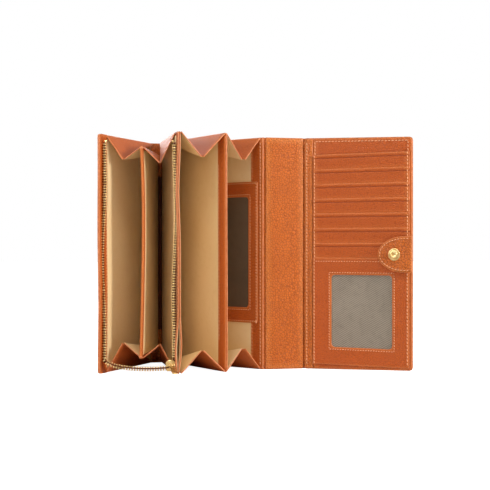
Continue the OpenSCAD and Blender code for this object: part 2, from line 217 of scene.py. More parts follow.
class Leather(Finish):
    """Leather with a cell grain, clouds in its dye, paler edges and painted shade in its creases."""

    def dress(self, tree: bpy.types.NodeTree, shader: bpy.types.Node) -> None:
        """Dresses the shader as leather.

        Args:
            tree: The material's node tree.
            shader: Its Principled BSDF.
        """
        look = self.look
        place = add_node(tree, "TexCoord").outputs["Object"]
        per_metre = 1 / (look.grain * MM)
        warp = add_node(tree, "TexNoise", {"Vector": place, "Scale": per_metre * 0.6, "Detail": 2.0})
        push = (look.grain * MM * 0.7,) * 3
        bent = add_node(tree, "VectorMath", {0: warp.outputs["Color"], 1: push}, operation="MULTIPLY")
        bent = add_node(tree, "VectorMath", {0: place, 1: bent.outputs[0]}, operation="ADD").outputs[0]
        cells = add_node(
            tree, "TexVoronoi", {"Vector": bent, "Scale": per_metre, "Randomness": 0.9}, feature="DISTANCE_TO_EDGE"
        ).outputs["Distance"]
        pebble = add_node(
            tree, "MapRange", {"Value": cells, "From Min": 0.0, "From Max": 0.2}, interpolation_type="SMOOTHERSTEP"
        ).outputs["Result"]
        pores = add_node(tree, "TexNoise", {"Vector": place, "Scale": per_metre * 3.0, "Detail": 3.0}).outputs["Fac"]
        dye = {"Vector": place, "Scale": 45.0, "Detail": 4.0, "Roughness": 0.62}
        clouds = add_node(tree, "TexNoise", dye).outputs["Fac"]
        # Painted shade: the creases between the pebbles are darkened towards the deep colour.
        crease = calc(tree, "MULTIPLY", calc(tree, "SUBTRACT", 1.0, pebble), look.crease_shade)
        cloud = calc(tree, "MULTIPLY", stretched(tree, clouds, 0.35, 0.75), 0.28)
        wear_and_shade = add_node(tree, "Attribute", attribute_name=WEAR_AND_SHADE).outputs["Fac"]
        # A point marked -1 on a pressed crease gets the full deep colour: painted shade in the groove.
        painted_crease_shade = calc(tree, "MULTIPLY", wear_and_shade, -1.0)
        dark = calc(tree, "MAXIMUM", crease, cloud)
        dark = add_node(tree, "Math", {0: dark, 1: painted_crease_shade}, operation="MAXIMUM", use_clamp=True).outputs[0]
        dyed = tinted(tree, dark, look.body, look.deep)
        rubbed = calc(tree, "MULTIPLY", calc(tree, "MAXIMUM", wear_and_shade, 0.0), stretched(tree, pores, 0.25, 0.6))
        mix = add_node(tree, "Mix", {"Factor": calc(tree, "MULTIPLY", rubbed, 0.75)}, data_type="RGBA")
        tree.links.new(dyed, mix.inputs["A"])
        mix.inputs["B"].default_value = linear(look.worn)
        tree.links.new(mix.outputs["Result"], shader.inputs["Base Color"])
        height = calc(tree, "ADD", pebble, calc(tree, "MULTIPLY", pores, 0.35))
        bump = add_node(tree, "Bump", {"Strength": 0.8, "Distance": look.depth * MM, "Height": height})
        tree.links.new(bump.outputs["Normal"], shader.inputs["Normal"])
        gloss = {"Value": pores, "To Min": look.roughness - 0.07, "To Max": look.roughness + 0.09}
        rough = add_node(tree, "MapRange", gloss)
        tree.links.new(rough.outputs["Result"], shader.inputs["Roughness"])
        shader.inputs["Specular IOR Level"].default_value = 0.32


@dataclass(frozen=True)
class WeaveLook:
    """A woven cloth of polyester or nylon.

    Attributes:
        thread: Colour on the crowns of the threads.
        gap: Colour between the threads.
        pitch: Distance from one thread to the next, in millimetres, drawn coarse enough to show.
        turn: Angle of the threads to the piece's depth, in degrees.
        depth: Height of a thread over the gaps, in millimetres.
        twill: How far a thread's crown moves along from one row to the next, as a share of the pitch.
        roughness: Roughness of the cloth.
        sheen: How much the fibres catch light at a low angle.
        contrast: How strongly the gaps show, from 0 to 1.
    """

    thread: str
    gap: str
    pitch: float
    turn: float
    depth: float
    twill: float
    roughness: float
    sheen: float
    contrast: float


class Weave(Finish):
    """A woven cloth, whose threads follow the piece's own flat lay."""

    def dress(self, tree: bpy.types.NodeTree, shader: bpy.types.Node) -> None:
        """Dresses the shader as woven cloth.

        Args:
            tree: The material's node tree.
            shader: Its Principled BSDF.
        """
        look = self.look
        lay = add_node(tree, "Attribute", attribute_name=FLAT).outputs["Vector"]
        loom = {"Vector": lay, "Rotation": (0, 0, math.radians(look.turn)), "Scale": (1 / look.pitch,) * 3}
        turned = add_node(tree, "Mapping", loom).outputs["Vector"]
        split = add_node(tree, "SeparateXYZ", {"Vector": turned})
        along, across = split.outputs["X"], split.outputs["Y"]
        slid = calc(tree, "ADD", along, calc(tree, "MULTIPLY", across, look.twill))
        warp = calc(tree, "SINE", calc(tree, "MULTIPLY", slid, math.tau))
        weft = calc(tree, "SINE", calc(tree, "MULTIPLY", across, math.tau))
        crown = stretched(tree, calc(tree, "MULTIPLY", warp, weft), -1.0, 1.0)
        place = add_node(tree, "TexCoord").outputs["Object"]
        slub = add_node(tree, "TexNoise", {"Vector": place, "Scale": 220.0, "Detail": 3.0}).outputs["Fac"]
        shade = add_node(tree, "TexNoise", {"Vector": place, "Scale": 28.0, "Detail": 2.0}).outputs["Fac"]
        low = calc(tree, "MULTIPLY", calc(tree, "SUBTRACT", 1.0, crown), look.contrast)
        low = calc(tree, "ADD", low, calc(tree, "MULTIPLY", stretched(tree, shade, 0.35, 0.75), 0.18))
        thick = calc(tree, "MULTIPLY", stretched(tree, slub, 0.5, 0.8), 0.15)
        low = add_node(tree, "Math", {0: low, 1: thick}, operation="ADD", use_clamp=True).outputs[0]
        tree.links.new(tinted(tree, low, look.thread, look.gap), shader.inputs["Base Color"])
        bump = add_node(tree, "Bump", {"Strength": 0.7, "Distance": look.depth * MM, "Height": crown})
        tree.links.new(bump.outputs["Normal"], shader.inputs["Normal"])
        shader.inputs["Roughness"].default_value = look.roughness
        shader.inputs["Sheen Weight"].default_value = look.sheen
        shader.inputs["Specular IOR Level"].default_value = 0.25


@dataclass(frozen=True)
class BrassLook:
    """Die-cast or stamped brass, tumbled bright and lacquered.

    Attributes:
        bright: Colour of the polished metal.
        dull: Colour where the metal has tarnished a little.
        roughness: Roughness of the polish.
    """

    bright: str
    dull: str
    roughness: float


class Brass(Finish):
    """Polished brass with fine tumbling marks."""

    def dress(self, tree: bpy.types.NodeTree, shader: bpy.types.Node) -> None:
        """Dresses the shader as brass.

        Args:
            tree: The material's node tree.
            shader: Its Principled BSDF.
        """
        place = add_node(tree, "TexCoord").outputs["Object"]
        marks = add_node(tree, "TexNoise", {"Vector": place, "Scale": 2500.0, "Detail": 4.0}).outputs["Fac"]
        patch = add_node(tree, "TexNoise", {"Vector": place, "Scale": 260.0, "Detail": 2.0}).outputs["Fac"]
        look = self.look
        metal = tinted(tree, stretched(tree, patch, 0.4, 0.75), look.bright, look.dull)
        tree.links.new(metal, shader.inputs["Base Color"])
        gloss = {"Value": marks, "To Min": look.roughness - 0.06, "To Max": look.roughness + 0.1}
        rough = add_node(tree, "MapRange", gloss)
        tree.links.new(rough.outputs["Result"], shader.inputs["Roughness"])
        bump = add_node(tree, "Bump", {"Strength": 0.15, "Distance": 0.02 * MM, "Height": marks})
        tree.links.new(bump.outputs["Normal"], shader.inputs["Normal"])
        shader.inputs["Metallic"].default_value = 1.0


@dataclass(frozen=True)
class PlainLook:
    """A surface with one soft colour, such as edge paint or waxed thread.

    Attributes:
        light: The paler colour.
        shade: The deeper colour.
        mottle: Size of the mottling, in millimetres.
        roughness: Roughness of the surface.
    """

    light: str
    shade: str
    mottle: float
    roughness: float


class Plain(Finish):
    """A softly mottled surface."""

    def dress(self, tree: bpy.types.NodeTree, shader: bpy.types.Node) -> None:
        """Dresses the shader with its mottled colour.

        Args:
            tree: The material's node tree.
            shader: Its Principled BSDF.
        """
        look = self.look
        place = add_node(tree, "TexCoord").outputs["Object"]
        spots = {"Vector": place, "Scale": 1 / (look.mottle * MM), "Detail": 3.0}
        mottle = add_node(tree, "TexNoise", spots).outputs["Fac"]
        paint = tinted(tree, stretched(tree, mottle, 0.3, 0.7), look.light, look.shade)
        tree.links.new(paint, shader.inputs["Base Color"])
        bump = add_node(tree, "Bump", {"Strength": 0.3, "Distance": 0.05 * MM, "Height": mottle})
        tree.links.new(bump.outputs["Normal"], shader.inputs["Normal"])
        shader.inputs["Roughness"].default_value = look.roughness


class Goods(Enum):
    """The finishes of the wallet, each with the record's material slot that it stands for."""

    GRAINED = "grained_leather"
    SMOOTH = "smooth_leather"
    GUSSET = "gusset_leather"
    BAND = "band_leather"
    LINING = "lining_cloth"
    MESH = "window_mesh"
    PASS_MESH_SHADED = "pass_mesh"
    TAPE_SHADED = "zip_tape"
    BRASS = "brass"
    EDGE = "edge_paint"
    THREAD = "waxed_thread"


# Pebbled outer leather catches small highlights on each pebble; the smooth slot leather is plated flat.
FINISHES: dict[Goods, Finish] = {
    Goods.GRAINED: Leather("grained_leather", LeatherLook("#D06A1E", "#8F3E0C", "#E08C48", 2.1, 0.6, 0.68, 0.39)),
    Goods.SMOOTH: Leather("smooth_leather", LeatherLook("#BE550E", "#8C3A0A", "#DC8444", 1.7, 0.24, 0.5, 0.45)),
    Goods.GUSSET: Leather("gusset_leather", LeatherLook("#CC6624", "#93400F", "#E08A4C", 1.7, 0.28, 0.55, 0.47)),
    Goods.BAND: Leather("band_leather", LeatherLook("#C65C18", "#8E3B0C", "#DE8442", 1.7, 0.28, 0.55, 0.46)),
    # Lining cloth: a fine polyester twill, so smooth that only a faint thread line shows.
    Goods.LINING: Weave("lining_cloth", WeaveLook("#F0D3A2", "#D9B57C", 0.7, 45.0, 0.03, 0.5, 0.75, 0.0, 0.35)),
    # Window mesh: a nylon twill mesh; its diagonal ribs show plainly.
    Goods.MESH: Weave("window_mesh", WeaveLook("#ABA08E", "#675B4E", 1.7, 33.0, 0.22, 0.5, 0.6, 0.0, 1.0)),
    # The pass window's mesh is the same nylon, coloured dark brown as painted shade: the shade in the pass compartment
    # and the dark behind its open weave.
    Goods.PASS_MESH_SHADED: Weave("pass_mesh", WeaveLook("#6A5642", "#3A2A1C", 1.25, 33.0, 0.12, 0.5, 0.6, 0.05, 0.7)),
    # Zip tape: its own tan-brown darkened as painted shade between the teeth; the spine's inner face reuses it as
    # painted shade.
    Goods.TAPE_SHADED: Weave("zip_tape", WeaveLook("#6E3516", "#3A1806", 0.9, 0.0, 0.1, 0.5, 0.8, 0.0, 0.6)),
    Goods.BRASS: Brass("brass", BrassLook("#EBCD90", "#C79E5C", 0.27)),
    # Edge paint: a thick acrylic bead, satin and a little paler than the leather.
    Goods.EDGE: Plain("edge_paint", PlainLook("#DE8C5A", "#C46B36", 3.0, 0.38)),
    # Waxed polyester thread in a paler tone than the leather.
    Goods.THREAD: Plain("waxed_thread", PlainLook("#F0B688", "#DE935C", 0.6, 0.55)),
}


# ----------------------------------------
# Where the CAD pieces lie
# ----------------------------------------


@dataclass(frozen=True)
class Span:
    """A CAD node's extent in a panel's own directions, in millimetres.

    Attributes:
        x0: Least place through the panel's thickness.
        x1: Greatest place through the thickness.
        u0: Least depth from the hinge line.
        u1: Greatest depth.
        z0: Least height.
        z1: Greatest height.
    """

    x0: float
    x1: float
    u0: float
    u1: float
    z0: float
    z1: float

    def moved(self, **edges: float) -> "Span":
        """Gives a copy with some edges moved by the given amounts."""
        values = {name: getattr(self, name) + edges.get(name, 0.0) for name in ("x0", "x1", "u0", "u1", "z0", "z1")}
        return Span(**values)


def node_points(node: str) -> np.ndarray:
    """Gives a CAD node's corner points at rest, in millimetres."""
    return np.array([v.co for v in FRAME["nodes"][node].data.vertices], float) / MM


@dataclass(frozen=True)
class Panel:
    """The upright plane of one panel: its hinge line, its direction and its body.

    Attributes:
        body: Name of the CAD body that the panel is.
        foot: Place of its hinge line on the floor, in millimetres.
        angle: Its direction from -Y towards +X, in radians.
    """

    body: str
    foot: tuple[float, float]
    angle: float

    @property
    def depth_way(self) -> np.ndarray:
        """Unit vector from the hinge line to the mouth."""
        return np.array([math.sin(self.angle), -math.cos(self.angle), 0.0])

    @property
    def across(self) -> np.ndarray:
        """Unit vector through the panel's thickness, to its right."""
        return np.array([math.cos(self.angle), math.sin(self.angle), 0.0])

    def to_row(self, points: np.ndarray) -> np.ndarray:
        """Turns points of the panel into places in the row frame.

        Args:
            points: Points as (x, u, z), in millimetres.

        Returns:
            Their places, in millimetres.
        """
        x, u, z = points[..., 0:1], points[..., 1:2], points[..., 2:3]
        foot = np.array([*self.foot, 0.0])
        return foot + x * self.across + u * self.depth_way + z * np.array([0.0, 0.0, 1.0])

    def span(self, node: str) -> Span:
        """Measures a CAD node in the panel's own directions.

        Args:
            node: The node's name.

        Returns:
            Its extent.
        """
        points = node_points(node) - np.array([*self.foot, 0.0])
        x, u, z = points @ self.across, points @ self.depth_way, points[:, 2]
        return Span(x.min(), x.max(), u.min(), u.max(), z.min(), z.max())


def at_origin(body: str) -> Panel:
    """Gives the plane at the origin that places in the row frame are drawn in."""
    return Panel(body, (0.0, 0.0), 0.0)


def to_origin(points: np.ndarray) -> np.ndarray:
    """Turns places in the row frame into the (x, u, z) of the plane at the origin."""
    return np.stack([points[..., 0], -points[..., 1], points[..., 2]], axis=-1)


def joint_named(name: str) -> dict:
    """Finds a joint of the CAD model by its name."""
    return next(j for j in FRAME["joints"] if j["name"] == name)


def panel_of(body: str, plate: str, hinge: str | None) -> Panel:
    """Finds a panel's plane from its hinge and its flattest CAD plate.

    Args:
        body: The panel's CAD body.
        plate: The node whose long direction, seen from above, is the panel's direction.
        hinge: The joint at its hinge line, or None for the middle divider at the origin.

    Returns:
        The panel's plane.
    """
    foot = tuple(c / MM for c in joint_named(hinge)["pos_m"][:2]) if hinge else (0.0, 0.0)
    flat = node_points(plate)[:, :2]
    flat = np.unique(np.round(flat, 3), axis=0)
    middle = (flat.min(axis=0) + flat.max(axis=0)) / 2
    _, _, ways = np.linalg.svd(flat - flat.mean(axis=0))
    way = ways[0] if np.dot(ways[0], middle - np.array(foot)) > 0 else -ways[0]
    return Panel(body, foot, math.atan2(way[0], -way[1]))


# ----------------------------------------
# Meshes
# ----------------------------------------


@dataclass
class Shape:
    """A mesh under construction, in a panel's own millimetres.

    Attributes:
        points: Corner points as (x, u, z).
        faces: Corner numbers of each face.
        goods: Index of each face's finish.
        flat: The flat lay of each point, for woven finishes.
        wear_and_shade: How rubbed each point is, from 0 to 1, or -1 where a pressed crease is painted with shade.
    """

    points: list = field(default_factory=list)
    faces: list = field(default_factory=list)
    goods: list = field(default_factory=list)
    flat: list = field(default_factory=list)
    wear_and_shade: list = field(default_factory=list)

    def add_grid(self, grid: np.ndarray, goods: np.ndarray | int, wear_and_shade: np.ndarray | float = 0.0,
                 ring: bool = False, turn: bool = False, flat: np.ndarray | None = None) -> np.ndarray:
        """Adds a grid of points and its faces.

        Args:
            grid: Points by row and column.
            goods: Finish of each face, as one number or by row and column.
            wear_and_shade: Wear of each point, or -1 for painted crease shade, as one number or by row and column.
            ring: Whether the last column joins the first.
            turn: Whether the faces look the other way.
            flat: The flat lay of the points, where it isn't their (u, z).

        Returns:
            The points' numbers by row and column.
        """
        rows, cols = grid.shape[:2]
        first = len(self.points)
        index = first + np.arange(rows * cols).reshape(rows, cols)
        self.points.extend(grid.reshape(-1, 3).tolist())
        lay = grid[..., 1:3] if flat is None else flat
        self.flat.extend(lay.reshape(-1, 2).tolist())
        self.wear_and_shade.extend(np.broadcast_to(wear_and_shade, (rows, cols)).reshape(-1).tolist())
        last = cols if ring else cols - 1
        kinds = np.broadcast_to(goods, (rows - 1, last))
        for i in range(rows - 1):
            for j in range(last):
                k = (j + 1) % cols
                quad = [index[i, j], index[i + 1, j], index[i + 1, k], index[i, k]]
                self.faces.append(quad[::-1] if turn else quad)
                self.goods.append(int(kinds[i, j]))
        return index

    def add_faces(self, faces: Sequence[Sequence[int]], goods: int) -> None:
        """Adds faces between points that are already there."""
        self.faces.extend([list(f) for f in faces])
        self.goods.extend([goods] * len(faces))

    def join_loops(self, a: Sequence[int], b: Sequence[int], goods: int, ring: bool = True) -> None:
        """Joins two loops of equal length with quads.

        Args:
            a: The first loop's points.
            b: The second loop's points.
            goods: Finish of the faces.
            ring: Whether the loops are closed.
        """
        count = len(a) if ring else len(a) - 1
        for i in range(count):
            j = (i + 1) % len(a)
            self.add_faces([(a[i], a[j], b[j], b[i])], goods)

    def cap(self, loop: Sequence[int], goods: int) -> None:
        """Closes a loop with one face."""
        self.add_faces([tuple(loop)], goods)

    def add_tube(self, rings: np.ndarray, goods: int = 0, ends: int | None = None,
                 flat: np.ndarray | None = None) -> None:
        """Adds a closed tube and caps both of its ends.

        Args:
            rings: Its rings of points, all of one length.
            goods: Finish of its sides.
            ends: Finish of its ends, if it isn't that of its sides.
            flat: The flat lay of its points, where it isn't their (u, z).
        """
        index = self.add_grid(rings, goods, ring=True, flat=flat)
        ends = goods if ends is None else ends
        self.cap(list(index[0])[::-1], ends)
        self.cap(list(index[-1]), ends)

    def close_rim(self, front: np.ndarray, back: np.ndarray, goods: int) -> None:
        """Joins the borders of a sheet's two faces.

        Args:
            front: The front face's point numbers by row and column.
            back: The back face's.
            goods: Finish of the rim.
        """
        borders = [[*g[0, :], *g[1:, -1], *g[-1, -2::-1], *g[-2:0:-1, 0]] for g in (front, back)]
        self.join_loops(borders[0], borders[1], goods)


def make_piece(name: str, panel: Panel, shape: Shape, goods: Sequence[Goods], replaces: Sequence[str] = (),
               body: str | None = None, ride: bool = True) -> bpy.types.Object:
    """Turns a shape into an object that rides on its body.

    Args:
        name: The piece's name.
        panel: The panel that the shape is drawn in.
        shape: The shape.
        goods: The finishes that the shape's faces number.
        replaces: The CAD nodes that it stands for.
        body: The body that it rides on, if it isn't the panel's.
        ride: Whether it rides on one body; a piece that lies between two bodies doesn't.

    Returns:
        The object.
    """
    mesh = bpy.data.meshes.new(name)
    row = panel.to_row(np.array(shape.points, float)) * MM
    mesh.from_pydata(row.tolist(), [], shape.faces)
    mesh.polygons.foreach_set("material_index", shape.goods)
    mesh.polygons.foreach_set("use_smooth", [True] * len(mesh.polygons))
    lay = np.zeros((len(row), 3))
    lay[:, :2] = np.array(shape.flat, float)
    mesh.attributes.new(FLAT, "FLOAT_VECTOR", "POINT").data.foreach_set("vector", lay.ravel())
    mesh.attributes.new(WEAR_AND_SHADE, "FLOAT", "POINT").data.foreach_set("value", np.array(shape.wear_and_shade, float))
    for kind in goods:
        mesh.materials.append(FINISHES[kind].material())
    mesh.validate()
    fix_normals(mesh)
    made = bpy.data.objects.new(name, mesh)
    bpy.context.scene.collection.objects.link(made)
    if ride:
        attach(made, body or panel.body)
    if replaces:
        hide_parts(*replaces)
    log.info("%s: %d faces on %s", name, len(mesh.polygons), body or panel.body)
    return made


def fix_normals(mesh: bpy.types.Mesh) -> None:
    """Joins the points that lie on each other and turns every face of a mesh outwards.

    Args:
        mesh: The mesh.
    """
    same_place = 1e-7
    work = bmesh.new()
    work.from_mesh(mesh)
    bmesh.ops.remove_doubles(work, verts=work.verts, dist=same_place)
    bmesh.ops.recalc_face_normals(work, faces=work.faces)
    work.to_mesh(mesh)
    work.free()


def rim_profile(thickness: float, soft: float) -> list[tuple[float, float]]:
    """Draws the rounded rim of a sheet.

    Args:
        thickness: The sheet's thickness.
        soft: Radius of its rim, at most half the thickness.

    Returns:
        Pairs of distance from the edge and half thickness there.
    """
    soft = min(soft, thickness / 2)
    turns = [math.radians(a) for a in (0, 25, 50, 90)]
    return [(soft * (1 - math.cos(t)), thickness / 2 - soft + soft * math.sin(t)) for t in turns]


def ticks(a: float, b: float, rim: Sequence[tuple[float, float]], step: float,
          marks: Sequence[float] = ()) -> np.ndarray:
    """Lays grid lines between two edges, fine at both rims.

    Args:
        a: The first edge.
        b: The second edge.
        rim: The rim's profile.
        step: Distance between the lines away from the rims.
        marks: Places that also get a line.

    Returns:
        The places of the lines, in order.
    """
    near = [d for d, _ in rim]
    inner = np.linspace(a + near[-1], b - near[-1], max(2, round((b - a - 2 * near[-1]) / step) + 1))
    lines = [a + d for d in near[:-1]] + list(inner) + [b - d for d in near[:-1][::-1]] + list(marks)
    return np.unique(np.round(lines, 5))


def flat_bend(u: np.ndarray, z: np.ndarray) -> np.ndarray:
    """The bend of a flat sheet."""
    return np.zeros_like(u)


def rounded(u: np.ndarray, z: np.ndarray, span: Span, radius: float,
            foot_round: bool = False) -> tuple[np.ndarray, np.ndarray]:
    """Draws the corners of a rectangle's points in to arcs.

    Args:
        u: Depths of the points.
        z: Heights of the points.
        span: The rectangle.
        radius: Radius of the corners at the mouth.
        foot_round: Whether the corners at the hinge side are round too.

    Returns:
        The moved depths and heights.
    """
    u, z = u.copy(), z.copy()
    ends = [(span.u1, 1)] + ([(span.u0, -1)] if foot_round else [])
    for u_edge, u_way in ends:
        for z_edge, z_way in ((span.z1, 1), (span.z0, -1)):
            cu, cz = u_edge - u_way * radius, z_edge - z_way * radius
            a, b = (u - cu) * u_way / radius, (z - cz) * z_way / radius
            inside = (a > 0) & (b > 0)
            new_a = a * np.sqrt(np.clip(1 - b * b / 2, 0, 1))
            new_b = b * np.sqrt(np.clip(1 - a * a / 2, 0, 1))
            u = np.where(inside, cu + u_way * radius * new_a, u)
            z = np.where(inside, cz + z_way * radius * new_b, z)
    return u, z


@dataclass(frozen=True)
class SheetPlan:
    """How a rectangular sheet is cut and laid.

    Attributes:
        span: Its box.
        step: Distance between its grid lines.
        radius: Radius of its corners at the mouth, or 0.
        soft: Radius of its rounded rim.
        bend: How far its middle moves through the thickness, by depth and height.
        relief: How far its faces rise outwards, by depth and height, on the front and back faces.
        foot_round: Whether its corners at the hinge side are round too.
        u_marks: Extra grid lines across the depth.
        z_marks: Extra grid lines across the height.
        shape: How the outline moves: gives new depths and heights for old ones.
    """

    span: Span
    step: float = 6.0
    radius: float = 0.0
    soft: float = 0.5
    bend: Bend = flat_bend
    relief: Bend = flat_bend
    foot_round: bool = False
    u_marks: tuple[float, ...] = ()
    z_marks: tuple[float, ...] = ()
    shape: Callable[[np.ndarray, np.ndarray], tuple[np.ndarray, np.ndarray]] | None = None


# Edges are rubbed over this many millimetres, and a face pressed deeper than this is painted with shade in the dark
# crease colour.
WEAR_REACH = 1.2
PAINTED_SHADE_DEPTH = -0.15


def add_sheet(shape: Shape, plan: SheetPlan, right: int = 0, left: int = 1, rim: int = 2) -> None:
    """Adds a closed sheet with a rounded rim.

    Args:
        shape: The shape that it goes into.
        plan: How it is cut and laid.
        right: Finish of its right face.
        left: Finish of its left face.
        rim: Finish of its rim.
    """
    span = plan.span
    thick = span.x1 - span.x0
    profile = rim_profile(thick, plan.soft)
    corner = [span.z0 + plan.radius, span.z1 - plan.radius] if plan.radius else []
    u_corner = [span.u1 - plan.radius] + ([span.u0 + plan.radius] if plan.foot_round else []) if plan.radius else []
    us = ticks(span.u0, span.u1, profile, plan.step, [*plan.u_marks, *u_corner])
    zs = ticks(span.z0, span.z1, profile, plan.step, [*plan.z_marks, *corner])
    u, z = np.meshgrid(us, zs, indexing="ij")
    rim_d = np.array([d for d, _ in profile])
    rim_h = np.array([h for _, h in profile])
    near = np.minimum(np.minimum(u - span.u0, span.u1 - u), np.minimum(z - span.z0, span.z1 - z))
    half = np.interp(near, rim_d, rim_h)
    wear_and_shade = np.clip(1 - near / WEAR_REACH, 0, 1)
    middle = (span.x0 + span.x1) / 2 + plan.bend(u, z)
    lift = plan.relief(u, z) * np.clip(near / max(rim_d[-1], SLIM), 0, 1)
    # Painted shade: points pressed deeper than the threshold are marked -1, and the leather paints them in its deep
    # crease colour.
    wear_and_shade = np.where(lift < PAINTED_SHADE_DEPTH, -1.0, wear_and_shade)
    new_u, new_z = rounded(u, z, span, plan.radius, plan.foot_round) if plan.radius else (u, z)
    if plan.shape:
        new_u, new_z = plan.shape(new_u, new_z)
    low = rim_d[2] + SLIM
    cell_u = (us[:-1] + us[1:]) / 2
    cell_z = (zs[:-1] + zs[1:]) / 2
    edge_u = np.minimum(cell_u - span.u0, span.u1 - cell_u) < low
    edge_z = np.minimum(cell_z - span.z0, span.z1 - cell_z) < low
    at_rim = edge_u[:, None] | edge_z[None, :]
    front = np.stack([middle + half + lift, new_u, new_z], axis=-1)
    back = np.stack([middle - half - lift, new_u, new_z], axis=-1)
    a = shape.add_grid(front, np.where(at_rim, rim, right), wear_and_shade)
    b = shape.add_grid(back, np.where(at_rim, rim, left), wear_and_shade, turn=True)
    shape.close_rim(a, b, rim)


def rounded_loop(u0: float, u1: float, z0: float, z1: float, radius: float, per_side: int,
                 per_corner: int = 6) -> np.ndarray:
    """Draws a round-cornered rectangle.

    Args:
        u0: Its least depth.
        u1: Its greatest depth.
        z0: Its least height.
        z1: Its greatest height.
        radius: Radius of its corners.
        per_side: Points between two corners.
        per_corner: Points in each corner.

    Returns:
        A loop of (u, z) points.
    """
    near_u, far_u, low_z, high_z = u0 + radius, u1 - radius, z0 + radius, z1 - radius
    corners = [(far_u, high_z, 0), (near_u, high_z, 90), (near_u, low_z, 180), (far_u, low_z, 270)]
    arcs = []
    for cu, cz, start in corners:
        turn = np.radians(start + np.linspace(0, 90, per_corner))
        arcs.append(np.stack([cu + radius * np.cos(turn), cz + radius * np.sin(turn)], axis=-1))
    loop = []
    for i, arc in enumerate(arcs):
        after = arcs[(i + 1) % 4][0]
        share = np.linspace(0, 1, per_side + 2)[1:-1, None]
        loop.extend([*arc, *(arc[-1] * (1 - share) + after * share)])
    return np.array(loop)


def add_frame(shape: Shape, outer: np.ndarray, inner: np.ndarray, x0: float, x1: float, soft: float = 0.4,
              lines: int = 5, bend: Bend = flat_bend, right: int = 0, left: int = 1, rim: int = 2) -> None:
    """Adds a closed sheet with a hole, from an outer loop to an inner loop.

    Args:
        shape: The shape that it goes into.
        outer: The outer loop of (u, z) points.
        inner: The hole's loop, with as many points.
        x0: The left face.
        x1: The right face.
        soft: Radius of the rounded rims.
        lines: Number of loops between the rims.
        bend: How far its middle moves through the thickness.
        right: Finish of its right face.
        left: Finish of its left face.
        rim: Finish of its rims.
    """
    profile = rim_profile(x1 - x0, soft)
    width = np.linalg.norm(outer - inner, axis=1)
    loops, halves, near = [], [], []
    for d, h in profile:
        share = (d / width)[:, None]
        loops.append(inner * (1 - share) + outer * share)
        halves.append(h)
        near.append(d)
    for m in np.linspace(0, 1, lines + 2)[1:-1]:
        loops.append(inner * (1 - m) + outer * m)
        halves.append(profile[-1][1])
        near.append(WEAR_REACH)
    for d, h in profile[::-1]:
        share = (d / width)[:, None]
        loops.append(outer * (1 - share) + inner * share)
        halves.append(h)
        near.append(d)
    flat = np.array(loops)
    half = np.array(halves)[:, None]
    wear_and_shade = np.clip(1 - np.array(near) / WEAR_REACH, 0, 1)[:, None]
    middle = (x0 + x1) / 2 + bend(flat[..., 0], flat[..., 1])
    edge, last = len(profile) - 2, len(loops) - 1
    kinds_right = np.array([rim if i < edge or i >= last - edge else right for i in range(last)])[:, None]
    kinds_left = np.where(kinds_right == right, left, kinds_right)
    front = np.concatenate([(middle + half)[..., None], flat], axis=-1)
    back = np.concatenate([(middle - half)[..., None], flat], axis=-1)
    a = shape.add_grid(front, kinds_right, wear_and_shade, ring=True)
    b = shape.add_grid(back, kinds_left, wear_and_shade, ring=True, turn=True)
    for row in (0, -1):
        shape.join_loops(list(a[row]), list(b[row]), rim)


def add_pad(shape: Shape, loop: np.ndarray, centre: tuple[float, float], x0: float, x1: float, soft: float = 0.5,
            crown: float = 0.0, bend: Bend = flat_bend, right: int = 0, left: int = 1, rim: int = 2) -> None:
    """Adds a closed pad of any round outline, built of rings round its centre.

    Args:
        shape: The shape that it goes into.
        loop: The outline, as (u, z) points.
        centre: The middle that the rings close in on.
        x0: The left face.
        x1: The right face.
        soft: Radius of the rounded rim.
        crown: How far the faces rise in the middle.
        bend: How far its middle moves through the thickness.
        right: Finish of its right face.
        left: Finish of its left face.
        rim: Finish of its rim.
    """
    middle_point = np.array(centre)
    profile = rim_profile(x1 - x0, soft)
    reach = np.linalg.norm(loop - middle_point, axis=1)[:, None]
    loops, halves, wears = [], [], []
    for d, h in profile:
        loops.append(middle_point + (loop - middle_point) * (1 - d / reach))
        halves.append(h)
        wears.append(1 - d / WEAR_REACH)
    for share in (0.86, 0.7, 0.5, 0.28, 0.06):
        loops.append(middle_point + (loop - middle_point) * share)
        halves.append(profile[-1][1] + crown * (1 - share * share))
        wears.append(max(0.0, 1 - float(reach.min()) * (1 - share) / WEAR_REACH))
    flat = np.array(loops)
    half = np.array(halves)[:, None]
    place = (x0 + x1) / 2 + bend(flat[..., 0], flat[..., 1])
    kinds = np.array([rim if i < 2 else right for i in range(len(loops) - 1)])[:, None]
    kinds_left = np.where(kinds == right, left, kinds)
    wear_and_shade = np.clip(np.array(wears), 0, 1)[:, None]
    front = np.concatenate([(place + half)[..., None], flat], axis=-1)
    back = np.concatenate([(place - half)[..., None], flat], axis=-1)
    a = shape.add_grid(front, kinds, wear_and_shade, ring=True)
    b = shape.add_grid(back, kinds_left, wear_and_shade, ring=True, turn=True)
    shape.join_loops(list(a[0]), list(b[0]), rim)
    shape.cap(list(a[-1]), right)
    shape.cap(list(b[-1]), left)


def add_capsule(shape: Shape, start: np.ndarray, end: np.ndarray, radius: float, sides: int = 6) -> None:
    """Adds one round-ended rod between two points.

    Args:
        shape: The shape that it goes into.
        start: One end, as (x, u, z).
        end: The other end.
        radius: Its radius.
        sides: Number of facets round it.
    """
    way = end - start
    length = float(np.linalg.norm(way))
    way = way / length
    side = np.cross(way, [1.0, 0.0, 0.0])
    if np.linalg.norm(side) < 0.1:
        side = np.cross(way, [0.0, 1.0, 0.0])
    side = side / np.linalg.norm(side)
    other = np.cross(way, side)
    rings = [(0.0, 0.35), (0.12 * length, 0.85), (0.5 * length, 1.0), (0.88 * length, 0.85), (length, 0.35)]
    turn = np.linspace(0, math.tau, sides, endpoint=False)
    grid = [
        [start + way * d + radius * r * (side * math.cos(t) + other * math.sin(t)) for t in turn] for d, r in rings
    ]
    shape.add_tube(np.array(grid))


